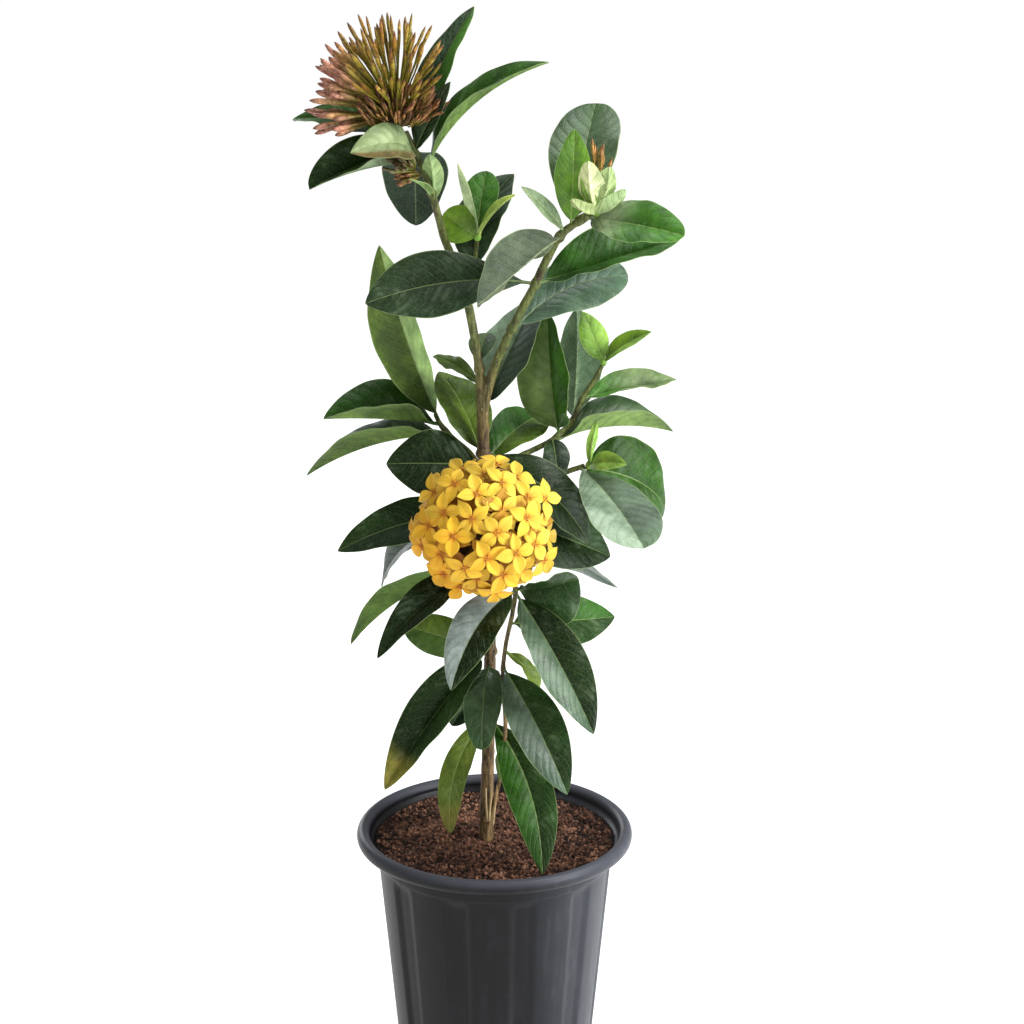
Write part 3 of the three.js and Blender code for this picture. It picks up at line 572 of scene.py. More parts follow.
# %% Courses of the stems
# Each stem: the points that it passes through, its radius at each of them, and the heights of its joints.
STEMS = {
    "trunk": dict(
        path=[
            (-6, -6, 122.5), (-6, -6, 172), (-5, -1, 225), (-4, 3, 270),
            (-3, 6, 330), (-5, 9, 389), (-7, 8, 456), (-8, 5, 515),
        ],
        radius=[6.2, 5.2, 4.8, 4.4, 4.2, 4.2, 4.2, 4.4],
        joints=[272, 322, 372, 425, 468],
    ),
    "left": dict(
        path=[
            (-8, 5, 500), (-10, 4, 530), (-14, 0, 559), (-18, -3, 580), (-26, -6, 606),
            (-33, -8, 624), (-38, -10, 644), (-43, -11, 662), (-55, -13, 690), (-58.5, -13.4, 698.1),
        ],
        radius=[4, 3.1, 3, 3.2, 2.8, 2.7, 2.6, 2.6, 2.4, 2.2],
        joints=[530, 580, 656, 682],
    ),
    "right": dict(
        path=[
            (-8, 5, 500), (0, 1, 530), (13, -6, 562), (28, -13, 593),
            (38, -18, 616), (46, -21, 630), (56, -22, 638), (66, -23, 645),
        ],
        radius=[4, 3.2, 3.1, 3, 2.9, 2.8, 2.6, 2.4],
        joints=[561, 594, 628, 640],
    ),
    "bloom": dict(
        path=[
            (-5, -4, 196), (3, -12, 226), (8, -16, 272), (6, -18, 309), (8, -19, 334),
            (13, -20, 360), (15, -22, 378), (12, -28, 393), (9, -31, 399),
        ],
        radius=[1.6, 1.6, 1.6, 1.6, 1.6, 1.7, 1.8, 1.8, 1.8],
        joints=[318, 376],
    ),
    "west": dict(
        path=[(-7, 8, 452), (-16, 20, 464), (-28, 34, 471), (-38, 44, 479), (-42, 48, 486)],
        radius=[2.4, 2, 1.9, 1.8, 1.6],
        joints=[476],
    ),
    "east": dict(
        path=[
            (-6, 8, 454), (18, 22, 462), (40, 34, 470), (54, 40, 481),
            (62, 42, 498), (72, 43, 514), (76, 43, 522),
        ],
        radius=[2.6, 2.2, 2, 2, 1.9, 1.8, 1.6],
        joints=[474, 498],
    ),
    "twig": dict(
        path=[(-6, 8, 420), (22, 16, 437), (50, 22, 450), (64, 22, 455)],
        radius=[2.4, 2.1, 2, 2],
        joints=[],
    ),
    "back": dict(
        path=[(-17, -3, 575), (-15, 8, 592), (-12, 18, 606), (-11, 22, 616)],
        radius=[2.2, 1.9, 1.8, 1.6],
        joints=[606],
    ),
}
STEPS_PER_STRETCH, HALVINGS = 81, 40
SWELL, SWELL_REACH = 1.1, 4
SCAR_BELOW, SCAR_WIDTH, SCAR_DEPTH = 3.2, 0.9, 0.55
THICK_STEM = 4.4  # the radius at which a joint has its full swelling


class Course:
    """A smooth curve through set points, measured along its length."""

    def __init__(self, path, radius, joints):
        self.radius, self.joints = radius, joints
        knots = np.array(path, float)
        ends = [2 * knots[0] - knots[1], 2 * knots[-1] - knots[-2]]
        around = np.vstack([ends[:1], knots, ends[1:]])
        steps = np.linspace(0, 1, STEPS_PER_STRETCH)
        pieces = [self.bend(around[i : i + 4], steps[:-1]) for i in range(len(knots) - 1)]
        self.points = np.vstack([*pieces, knots[-1:]])
        self.knot = np.linspace(0, len(knots) - 1, len(self.points))
        run = np.linalg.norm(np.diff(self.points, axis=0), axis=1)
        self.run = np.concatenate([[0], np.cumsum(run)])
        self.length = self.run[-1]

    @staticmethod
    def bend(four, w):
        """One stretch of a centripetal Catmull-Rom curve, between the middle two of four points."""
        p0, p1, p2, p3 = four
        d0, d1, d2 = (max(np.linalg.norm(b - a) ** 0.5, 1e-4) for a, b in ((p0, p1), (p1, p2), (p2, p3)))
        leave = ((p1 - p0) / d0 - (p2 - p0) / (d0 + d1) + (p2 - p1) / d1) * d1
        reach = ((p2 - p1) / d1 - (p3 - p1) / (d1 + d2) + (p3 - p2) / d2) * d1
        c2, c3 = 3 * (p2 - p1) - 2 * leave - reach, 2 * (p1 - p2) + leave + reach
        w = w[:, None]
        return p1 + leave * w + c2 * w**2 + c3 * w**3

    def at(self, run):
        return np.stack([np.interp(run, self.run, self.points[:, k]) for k in range(3)], axis=-1)

    def along(self, run):
        ahead = self.at(np.minimum(run + 0.5, self.length)) - self.at(np.maximum(run - 0.5, 0))
        return ahead / np.linalg.norm(ahead, axis=-1, keepdims=True)

    def run_at_height(self, height):
        low, high = 0.0, self.length
        for _ in range(HALVINGS):
            middle = (low + high) / 2
            low, high = (middle, high) if self.at(middle)[2] < height else (low, middle)
        return (low + high) / 2

    def thickness(self, run):
        """The radius there, with the swelling of the nearest joint and the scar ring under each."""
        knot = np.interp(run, self.run, self.knot)
        plain = np.interp(knot, np.arange(len(self.radius)), self.radius)
        height = self.at(run)[..., 2]
        swell = scar = 0
        for joint in self.joints:
            swell = np.maximum(swell, 1 - np.abs(height - joint) / SWELL_REACH)
            scar = scar + np.exp(-(((height - joint + SCAR_BELOW) / SCAR_WIDTH) ** 2))
        return plain + self.radius[0] / THICK_STEM * (SWELL * swell - SCAR_DEPTH * scar)


courses = {name: Course(**stem) for name, stem in STEMS.items()}
print("stem lengths in mm:", {name: round(course.length) for name, course in courses.items()})

# %% Skin of the stems
STEM_SIDES, STEM_STEP, BARK_VOXEL = 20, 1.2, 0.65
KNOBBLE, KNOT = 0.08, 0.3  # slow bends and small knots of the bark, as shares of the radius
SOFTENING, SOFTENING_ROUNDS = 0.5, 3


def unit(v):
    return v / np.linalg.norm(v, axis=-1, keepdims=True)


def ring_frame(along, side=(1.0, 0.0, 0.0)):
    """Two directions square to `along`, steady from ring to ring."""
    side = np.broadcast_to(side, along.shape)
    across = unit(side - along * np.sum(side * along, axis=-1, keepdims=True))
    return across, np.cross(along, across)


def knobble(angle, run):
    """Uneven growth of the bark: slow bends of the surface and small knots on top."""
    slow = noise.noise(Vector((2 * math.cos(angle), 2 * math.sin(angle), run / 9)))
    knots = noise.noise(Vector((1.6 * math.cos(angle), 1.6 * math.sin(angle), run / 2.6 + 40)))
    return KNOBBLE * slow + KNOT * max(0.0, knots - 0.3)


def tube(course, sides=STEM_SIDES, step=STEM_STEP):
    """A closed skin swept along a course: its points and faces."""
    runs = np.linspace(0, course.length, max(3, int(course.length / step)))
    angles = np.arange(sides) * 2 * math.pi / sides
    across, third = (way[:, None] for way in ring_frame(course.along(runs)))
    spokes = across * np.cos(angles)[None, :, None] + third * np.sin(angles)[None, :, None]
    thick = np.array([course.thickness(run) for run in runs])
    wobble = np.array([[1 + knobble(a, run) for a in angles] for run in runs])
    rings = course.at(runs)[:, None] + (thick[:, None] * wobble)[..., None] * spokes
    return rings.reshape(-1, 3), ring_faces(len(runs), sides) + end_caps(len(runs), sides)


def melt(piece, voxel):
    """Fuses what overlaps in a piece to one skin, and keeps the result."""
    skin = piece.modifiers.new("skin", "REMESH")
    skin.mode, skin.voxel_size, skin.use_smooth_shade = "VOXEL", voxel * MM, True
    soften = piece.modifiers.new("soften", "SMOOTH")
    soften.factor, soften.iterations = SOFTENING, SOFTENING_ROUNDS
    ready = bpy.context.evaluated_depsgraph_get()
    shaped = bpy.data.meshes.new_from_object(piece.evaluated_get(ready))
    piece.modifiers.clear()
    piece.data = shaped
    return piece


TRUNK_AXIS = (-0.005, 0.004, 0.0)  # metres
CORK_UP_TO, GREEN_FROM = 0.44, 0.66  # metres up the trunk
GREEN_OUTWARD = 6  # shoots that leave the trunk turn green so many times sooner


def bark():
    """Shoot skin: grey-brown cork with fissures low down, olive and smooth higher up."""
    made = Finish("bark", Specular_IOR_Level=0.4)
    height = made.node("SeparateXYZ", {"Vector": made.place}).outputs["Z"]
    off_axis = made.node("VectorMath", {0: made.flattened(), 1: TRUNK_AXIS}, operation="DISTANCE")
    youth = made.sum("MULTIPLY_ADD", off_axis.outputs["Value"], GREEN_OUTWARD, height)
    green = made.spread(youth, CORK_UP_TO, GREEN_FROM)
    fibres = made.noise(150, 5, 0.65, made.stretched(3.2, 3.2, 0.5))
    blotch = made.noise(90, 4, 0.6)
    cork = made.blend(made.spread(fibres, 0.36, 0.64), srgb(50, 37, 22), srgb(128, 101, 60))
    shoot = made.blend(made.spread(fibres, 0.3, 0.7), srgb(52, 60, 20), srgb(100, 110, 48))
    colour = made.blend(green, cork, shoot)
    colour = made.blend(made.spread(blotch, 0.52, 0.68, 0, 0.75), colour, srgb(54, 38, 24))
    specks = made.cells(330)
    colour = made.blend(made.spread(specks, 0.12, 0.2, 0.45, 0), colour, srgb(176, 160, 128))
    rough = made.spread(fibres, 0.3, 0.7, 0.72, 0.52)
    return made.done(colour, rough, made.sum("ADD", fibres, made.sum("MULTIPLY", blotch, 0.5)), 0.7)


stem_points, stem_faces = gather([tube(course) for course in courses.values()])
stems = melt(build_mesh("stems", stem_points, stem_faces), BARK_VOXEL)
stems.data.materials.clear()
stems.data.materials.append(bark())
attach(stems, "root")
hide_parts("stem")
print("stem faces:", len(stems.data.polygons))

# %% [markdown]
# ## Dry strands
# Three dead side shoots still lean against the trunk's foot, thin, dry and straw-coloured. Each is swept
# along a course like a stem, but without joints. They stay out of the remesh, because they only touch the
# trunk and do not grow into it.

# %% Dry strands
STRANDS = [
    dict(
        path=[(-1, -11, 195), (0.5, -12.4, 212), (3, -12.6, 230), (5, -12.8, 242)],
        radius=[0.9, 0.8, 0.8, 0.7],
    ),
    dict(path=[(-5, -11.4, 198), (-5.8, -12.4, 212), (-6, -12, 224)], radius=[0.8, 0.7, 0.6]),
    dict(path=[(-4, -11.6, 198), (-2.6, -12.8, 214), (-1.6, -12, 230)], radius=[0.8, 0.7, 0.6]),
]
STRAND_SIDES = 10


def straw():
    """Dry pale skin with lengthwise fibres."""
    made = Finish("straw", Specular_IOR_Level=0.3)
    fibres = made.noise(260, 4, 0.6, made.stretched(3, 3, 0.4))
    colour = made.blend(made.spread(fibres, 0.35, 0.65), srgb(150, 122, 82), srgb(204, 180, 134))
    return made.done(colour, made.spread(fibres, 0.3, 0.7, 0.6, 0.78), fibres, 0.3)


strand_points, strand_faces = gather([tube(Course(joints=[], **strand), STRAND_SIDES) for strand in STRANDS])
strands = build_mesh("dry_strands", strand_points, strand_faces, [straw()])
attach(strands, "root")
print("dry strands:", len(STRANDS))

# %% [markdown]
# ## Leaves
# An ixora leaf is a leathery oval with a pointed tip, folded a little along its midrib. Its short stalk
# springs from a swollen joint. On the upper face the midrib and the side veins are sunk and the blade
# swells between them; below, the same veins stand proud. A flat card with a picture cannot show that, so
# each leaf is a closed skin of rings: every ring is one cross-section, walked along a bent midrib.

# %% Cross-section of a leaf
BLADE, BLADE_EDGE, STALK = 0.5, 0.24, 1.9  # thickness at the rib, at the rim and of the stalk
PUCKER, FULL_PUCKER_WIDTH = 0.24, 40
RIB_WIDTH, GROOVE, KEEL, KEEL_AT_TIP = 0.95, 0.3, 0.85, 0.12
VEIN_GAP, FEWEST_VEINS, VEIN_LEAN, VEIN_CURL, HAND_SHIFT = 8.5, 5, 0.11, 0.10, 0.22
STALK_SHARE, STALK_END, STALK_FADE = 0.04, 0.015, 0.09  # shares of the leaf's length
HALF_STEPS = [0.03, 0.075, 0.14, 0.23, 0.34, 0.46, 0.58, 0.7, 0.81, 0.9, 0.96, 1.0]
ACROSS = np.array([-s for s in reversed(HALF_STEPS)] + [0.0] + HALF_STEPS)


def turn(v, axis, degrees):
    """A vector turned about an axis of length one."""
    a = math.radians(degrees)
    dot = np.sum(v * axis, axis=-1, keepdims=True)
    return v * math.cos(a) + np.cross(axis, v) * math.sin(a) + axis * dot * (1 - math.cos(a))


def half_width(t, width, peak, blunt):
    """Half the blade's width along it; `peak` is where it is widest, `blunt` fills out its ends."""
    u = np.clip((t - STALK_SHARE) / (1 - STALK_SHARE), 0, 1)
    swell = np.maximum(0, np.sin(math.pi * u ** (math.log(0.5) / math.log(peak)))) ** (0.8 - 0.4 * blunt)
    return np.maximum(np.where(t < 0.5, 1.0, 0.3), width / 2 * swell)


def vein_phase(t, a, hand, pairs):
    """Counts the side veins: a whole number lies on a vein. They lean towards the tip, more so at the rim."""
    return pairs * (t - VEIN_LEAN * a - VEIN_CURL * a * a) + HAND_SHIFT * hand


print("points across a leaf:", 2 * len(ACROSS))

# %% The midrib and the relief of a blade


def bent_rib(base, tip, roll, arch, sweep, steps):
    """The midrib: the share of each point along it, the points, and the ways up and out to the side there."""
    chord = unit(tip - base)
    level = unit(np.cross(chord, UP))
    face = turn(unit(np.cross(level, chord)), chord, roll)
    side = np.cross(chord, face)
    middle = (base + tip) / 2 + face * 2 * arch + side * 2 * sweep
    s = np.linspace(0, 1, steps)
    t = (0.55 * s + 0.45 * (0.5 - 0.5 * np.cos(math.pi * s)))[:, None]
    rib = (1 - t) ** 2 * base + 2 * t * (1 - t) * middle + t * t * tip
    along = unit(2 * (1 - t) * (middle - base) + 2 * t * (tip - middle))
    up = unit(face - along * np.sum(face * along, axis=1, keepdims=True))
    return t, rib, up, np.cross(along, up)


def pillows(t, a, hand, phase, belly, seed):
    """The blade swells between its side veins, more in some stretches than in others."""
    swell = (0.5 - 0.5 * np.cos(2 * math.pi * phase)) * np.sin(math.pi * np.clip(a, 0, 1) ** 0.7) * belly
    return swell * (0.5 + 0.5 * np.sin(7 * t + 1.3 * seed + hand))


def waves(t, a, hand, half, belly, wave, seed):
    """Slow waves and small ripples of the rim, and a slight hollow of each half."""
    rise = wave * belly * np.sin(12 * t + seed * 2.4 + np.where(hand > 0, 0, 2)) * a**1.5
    rise = rise + 0.35 * wave * belly * np.sin(31 * t + seed * 1.7 + hand) * a**3
    return rise + half * 0.05 * np.sin(math.pi * a)


print("veins of a leaf 90 long:", 2 * round(90 / VEIN_GAP))

# %% Leaf skin


def leaf_skin(
    base, tip, w, roll=0, fold=15, arch=6, sweep=0, peak=0.48, blunt=0.1, wave=1.2, seed=1, steps=46
):
    """One leaf: its points, faces, face kinds (0 upper, 1 under), and what the finish reads at each point.

    `w` is the blade's width. It is rolled round the line from base to tip, each half is lifted by `fold`
    degrees, and the midrib is bowed up by `arch` and to the side by `sweep` millimetres.
    """
    base, tip = np.asarray(base, float), np.asarray(tip, float)
    t, rib, up, out = bent_rib(base, tip, roll, arch, sweep, steps)
    v, a, hand = ACROSS[None, :], np.abs(ACROSS)[None, :], np.sign(ACROSS)[None, :]
    half = half_width(t, w, peak, blunt)
    lift = math.radians(fold) * np.minimum(1, t / 0.2) * (1 - 0.35 * t * t)
    lift = lift * (1.12 - 0.24 * a)
    belly = np.sqrt(np.maximum(0, np.sin(math.pi * t)))
    pairs = max(FEWEST_VEINS, round(np.linalg.norm(tip - base) / VEIN_GAP))
    phase = vein_phase(t, a, hand, pairs)
    pillow = pillows(t, a, hand, phase, belly, seed)
    rise = waves(t, a, hand, half, belly, wave, seed)
    stalk = 1 - ease((t - STALK_END) / STALK_FADE)
    thick = BLADE + (BLADE_EDGE - BLADE) * a**4
    thick = thick * (1 - stalk) + STALK * stalk * np.sqrt(np.maximum(0.02, 1 - a * a * 0.98))
    ridge = np.exp(-((a * half / RIB_WIDTH) ** 2))
    swollen = min(1.0, w / FULL_PUCKER_WIDTH)

    def surface(sign):
        proud = rise + sign * thick / 2 + PUCKER * swollen * pillow
        if sign > 0:
            proud = proud - GROOVE * ridge * (1 - t) * (1 - stalk)
        else:
            proud = proud - (KEEL * (1 - t) + KEEL_AT_TIP) * ridge
        flat = out[:, None] * (hand * np.cos(lift))[..., None] + up[:, None] * np.sin(lift)[..., None]
        facing = up[:, None] * np.cos(lift)[..., None] - out[:, None] * (hand * np.sin(lift))[..., None]
        return rib[:, None] + flat * (half * a)[..., None] + facing * proud[..., None]

    ring = np.concatenate([surface(1), surface(-1)[:, ::-1]], axis=1)
    n, m = ring.shape[1], len(ACROSS)
    faces = ring_faces(steps, n)
    kinds = [0 if j < m - 1 else 1 for j in range(n)] * (steps - 1)
    for start, flip in ((0, False), ((steps - 1) * n, True)):
        for j in range(m - 1):
            quad = (start + j, start + n - 1 - j, start + n - 2 - j, start + j + 1)
            faces.append(quad[::-1] if flip else quad)
            kinds.append(1)
    skin = {"points": ring.reshape(-1, 3), "faces": faces, "kinds": kinds}
    skin["under"] = np.tile(np.array([0] * m + [1] * m), steps)
    shares = {"rim": a + 0 * t, "along": t + 0 * a, "across": v + 0 * t}
    for name, value in {"vein": phase, "rib": a * half / (1.1 - 0.75 * t), **shares}.items():
        skin[name] = np.concatenate([value, value[:, ::-1]], axis=1).ravel()
    return skin


trial = leaf_skin((0, 0, 0), (90, 0, 20), w=44)
print("one leaf:", len(trial["points"]), "points,", len(trial["faces"]), "faces")

# %% [markdown]
# ## Leaf finishes
# Old leaves are dark green and glossy above and pale matt green below. On many, one half is tinted grey as a
# painted reflection of the sky in the gloss, and those halves also shine more. A half turned from the light
# is tinted darker as painted shade. New ones are yellow-green and softer. The side veins are a shade lighter,
# the blade is tinted darker beside them as painted shade in the creases, and the rim is a thin pale line,
# partly its own colour and partly a painted highlight. Between the veins the blade is finely netted and
# mottled, with pale patches that are partly dust and partly painted highlight. One finish serves every leaf
# of
# a kind: each leaf brings its own tint and shine, stored on its points, and the veins are drawn from the
# values that the leaf's skin kept. A picture would blur from close by, and would fit one leaf only.

# %% Leaf finishes
SHEEN_SHINE, DUST_AND_SHEEN_SHARE = 0.36, 0.14
LEAF_BUMP = 0.34


def leaf_finish(name, upper, gloss, line_share, shine):
    """`gloss` is the roughness, `line_share` how pale the side veins are, and `shine` how much it mirrors."""
    made = Finish(name)
    tint = made.tint("tint")
    vein = made.sum("PINGPONG", made.value("vein"), 0.5)
    rim, rib = made.value("rim"), made.value("rib")
    line = made.spread(vein, 0.0, 0.1, 1, 0)
    line = made.sum("MULTIPLY", line, made.spread(rim, 0.72, 0.95, 1, 0))
    swell = made.spread(vein, 0.02, 0.42)
    midrib = made.spread(rib, 0.4, 0.85, 1, 0)
    net = made.spread(made.cells(330, "DISTANCE_TO_EDGE"), 0.0, 0.12, 1, 0)
    cloud = made.noise(38, 4, 0.6)
    mottle = made.noise(190, 5, 0.7)
    fine = made.noise(420, 3, 0.6)

    dark = made.blend(1.0, tint, (0.52, 0.58, 0.5), "MULTIPLY")
    light = made.blend(1.0, tint, (1.42, 1.36, 1.3), "MULTIPLY")
    colour = made.blend(made.spread(cloud, 0.32, 0.68), dark, light)
    # painted shade: the blade is darker in the creases along the side veins
    painted_crease_shade = made.blend(1.0, colour, (0.9, 0.92, 0.88), "MULTIPLY")
    colour = made.blend(swell, painted_crease_shade, colour)
    speckled = made.blend(1.0, colour, (0.68, 0.74, 0.66), "MULTIPLY")
    colour = made.blend(made.spread(mottle, 0.42, 0.66, 0, 0.8), colour, speckled)
    if upper:
        # pale grey-green patches between the veins: partly dust, partly painted highlight on the swollen
        # blade
        dust_and_sheen = made.sum("MULTIPLY", made.spread(made.noise(75, 4, 0.62), 0.5, 0.68, 0, DUST_AND_SHEEN_SHARE), swell)
        colour = made.blend(dust_and_sheen, colour, srgb(150, 168, 140))
    pale = made.blend(0.5, tint, srgb(170, 190, 120) if upper else srgb(190, 205, 150))
    colour = made.blend(made.sum("MULTIPLY", net, 0.08), colour, pale)
    colour = made.blend(made.sum("MULTIPLY", line, line_share), colour, pale)
    colour = made.blend(made.sum("MULTIPLY", midrib, 0.62 if upper else 0.5), colour, pale)
    # thin pale line at the rim: partly the margin's own colour, partly a painted highlight along the edge
    colour = made.blend(made.spread(rim, 0.965, 0.99, 0, 0.6), colour, pale)

    shine_level = made.sum("MULTIPLY_ADD", made.value("wax"), SHEEN_SHINE, shine)
    made.tree.links.new(shine_level, made.shader.inputs["Specular IOR Level"])
    rough = made.spread(cloud, 0.3, 0.7, gloss - 0.05, gloss + 0.08)
    rough = made.sum("MULTIPLY_ADD", line, 0.1, rough)
    relief = made.sum("MULTIPLY", swell, 0.3)
    relief = made.sum("MULTIPLY_ADD", mottle, 1.0, relief)
    relief = made.sum("MULTIPLY_ADD", line, -0.4 if upper else 1.3, relief)
    relief = made.sum("MULTIPLY_ADD", net, -0.12 if upper else 0.16, relief)
    relief = made.sum("MULTIPLY_ADD", fine, 0.4, relief)
    return made.done(colour, rough, relief, LEAF_BUMP)


old_leaf = [
    leaf_finish("leaf_upper", True, 0.38, 0.08, 0.17),
    leaf_finish("leaf_under", False, 0.58, 0.13, 0.22),
]
new_leaf = [
    leaf_finish("new_leaf_upper", True, 0.48, 0.24, 0.3),
    leaf_finish("new_leaf_under", False, 0.6, 0.24, 0.25),
]

TINTS = {
    "deep": srgb(17, 38, 10),
    "dark": srgb(26, 54, 16),
    "green": srgb(38, 80, 16),
    "bright": srgb(56, 106, 28),
    "teal": srgb(34, 56, 36),
    "slate": srgb(42, 58, 50),
    "jade": srgb(58, 84, 54),
    # This tint and the two after it are pale grey-greens painted as the sheen of the sky on a glossy half.
    "wax": srgb(78, 100, 80),
    "silver": srgb(106, 122, 110),
    "frost": srgb(130, 152, 132),
    "olive": srgb(74, 98, 28),
    "moss": srgb(96, 118, 42),
    "fern": srgb(88, 118, 54),
    "leek": srgb(120, 148, 86),
    "spring": srgb(82, 134, 36),
    "lime": srgb(92, 134, 28),
    "fresh": srgb(138, 176, 74),
    "pale": srgb(160, 180, 124),
    "cream": srgb(212, 226, 174),
    "sage": srgb(96, 120, 76),
    "grey_sage": srgb(114, 132, 104),
    "stone": srgb(128, 134, 114),
    "mauve": srgb(88, 98, 78),
    "rust": srgb(142, 132, 62),
    "dry": srgb(110, 90, 56),
    "straw": srgb(128, 130, 56),
    "ash": srgb(138, 150, 108),
    # Steel is a painted sheen too.
    "steel": srgb(118, 132, 134),
    "plum": srgb(68, 80, 64),
    "grass": srgb(108, 146, 34),
    "butter": srgb(186, 208, 104),
}
print("leaf tints:", list(TINTS))

# %% Tint and wax of a leaf
HALVES_BLEND = 0.1  # width of the change of tint at the rib, as a share of half a blade
TINT_SHIFT = (0.16, 0.1, 0.2)  # how much two leaves of one look differ in red, green and blue
SHEEN_TINTS = ("wax", "silver", "frost", "jade", "slate")  # tints of leaf halves that shine more; most are greys that hold a painted sheen
SHEEN_FADE = 0.3


def halves(skin, left, right):
    """A value or a tint that changes at the midrib from the leaf's right half to its left."""
    share = ease((skin["across"] + HALVES_BLEND / 2) / HALVES_BLEND)
    return right + (left - right) * (share[:, None] if np.ndim(left) else share)


def tinted(skin, look, random, foot=None, end=None, margin=None):
    """The tint of every point. A look names the leaf's left half, its right half and its underside, or the
    two halves of the underside. Where the halves differ, it is mostly painted light and shade: a grey half is
    a painted reflection, a darker half painted shade. The foot, the far end or the right margin may have a
    tint of their own."""
    left, right, below_left, *rest = (np.array(TINTS[word]) for word in look.split())
    upper, under = halves(skin, left, right), halves(skin, below_left, rest[0] if rest else below_left)
    colours = np.where(skin["under"][:, None] == 0, upper, under)
    along, across = skin["along"][:, None], skin["across"][:, None]
    patches = ((foot, (0.55 - along) / 0.35), (end, (along - 0.72) / 0.16), (margin, (-across - 0.4) / 0.3))
    for word, share in patches:
        if word:
            colours = colours + (np.array(TINTS[word]) - colours) * ease(share)
    return colours * (1 + (random.random(3) - 0.5) * TINT_SHIFT)


def shiny(skin, look):
    """1 where the upper face has a tint with a painted sheen and so shines more, fading out at its foot and
    its tip.
    """
    left, right = (float(word in SHEEN_TINTS) for word in look.split()[:2])
    share = halves(skin, left, right) * (skin["under"] == 0)
    return share * ease(skin["along"] / SHEEN_FADE) * ease((1 - skin["along"]) / SHEEN_FADE)


def add_tint(piece, colours):
    """Keeps a colour for each point of a piece, for its finish to read."""
    full = np.concatenate([np.clip(colours, 0, 1), np.ones((len(colours), 1))], axis=1)
    kept = piece.data.attributes.new("tint", "FLOAT_COLOR", "POINT").data
    kept.foreach_set("color", full.astype(np.float32).ravel())


print("waxed tints:", SHEEN_TINTS)

# %% Putting a leaf in place
STALK_SINK = 0.9  # how deep a stalk's end lies under the bark
SHARP_ANGLE = 62  # degrees; creases sharper than this stay crisp


def seat(stem, height, tip, leave=None):
    """Where a leaf's stalk meets its stem. `leave` is its compass angle there, if it sets off elsewhere."""
    course = courses[stem]
    run = course.run_at_height(height)
    centre, along = course.at(run), course.along(run)
    outward = np.array(tip, float) - centre
    if leave is not None:
        outward = np.array([math.sin(math.radians(leave)), -math.cos(math.radians(leave)), 0])
    outward = unit(outward - along * np.dot(outward, along))
    return centre + outward * (course.thickness(run) - STALK_SINK)


def add_leaf(name, skins, looks, finishes, seed, **patches):
    """One piece from one or more leaf skins, with its tints and vein values."""
    random = np.random.default_rng(seed)
    points, faces = gather([(skin["points"], skin["faces"]) for skin in skins])
    kinds = [k for skin in skins for k in skin["kinds"]]
    piece = build_mesh(name, points, faces, finishes, kinds)
    add_tint(piece, np.vstack([tinted(skin, look, random, **patches) for skin, look in zip(skins, looks)]))
    add_shade(piece, "wax", np.concatenate([shiny(skin, look) for skin, look in zip(skins, looks)]))
    for value in ("vein", "rib", "rim"):
        add_shade(piece, value, np.concatenate([skin[value] for skin in skins]))
    piece.data.set_sharp_from_angle(angle=math.radians(SHARP_ANGLE))
    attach(piece, "root")
    return piece


print("a leaf of the trunk starts at", seat("trunk", 425, (83, 36, 383)).round(1).tolist())

# %% The leaves
YOUNG_LEAF = "right_4"
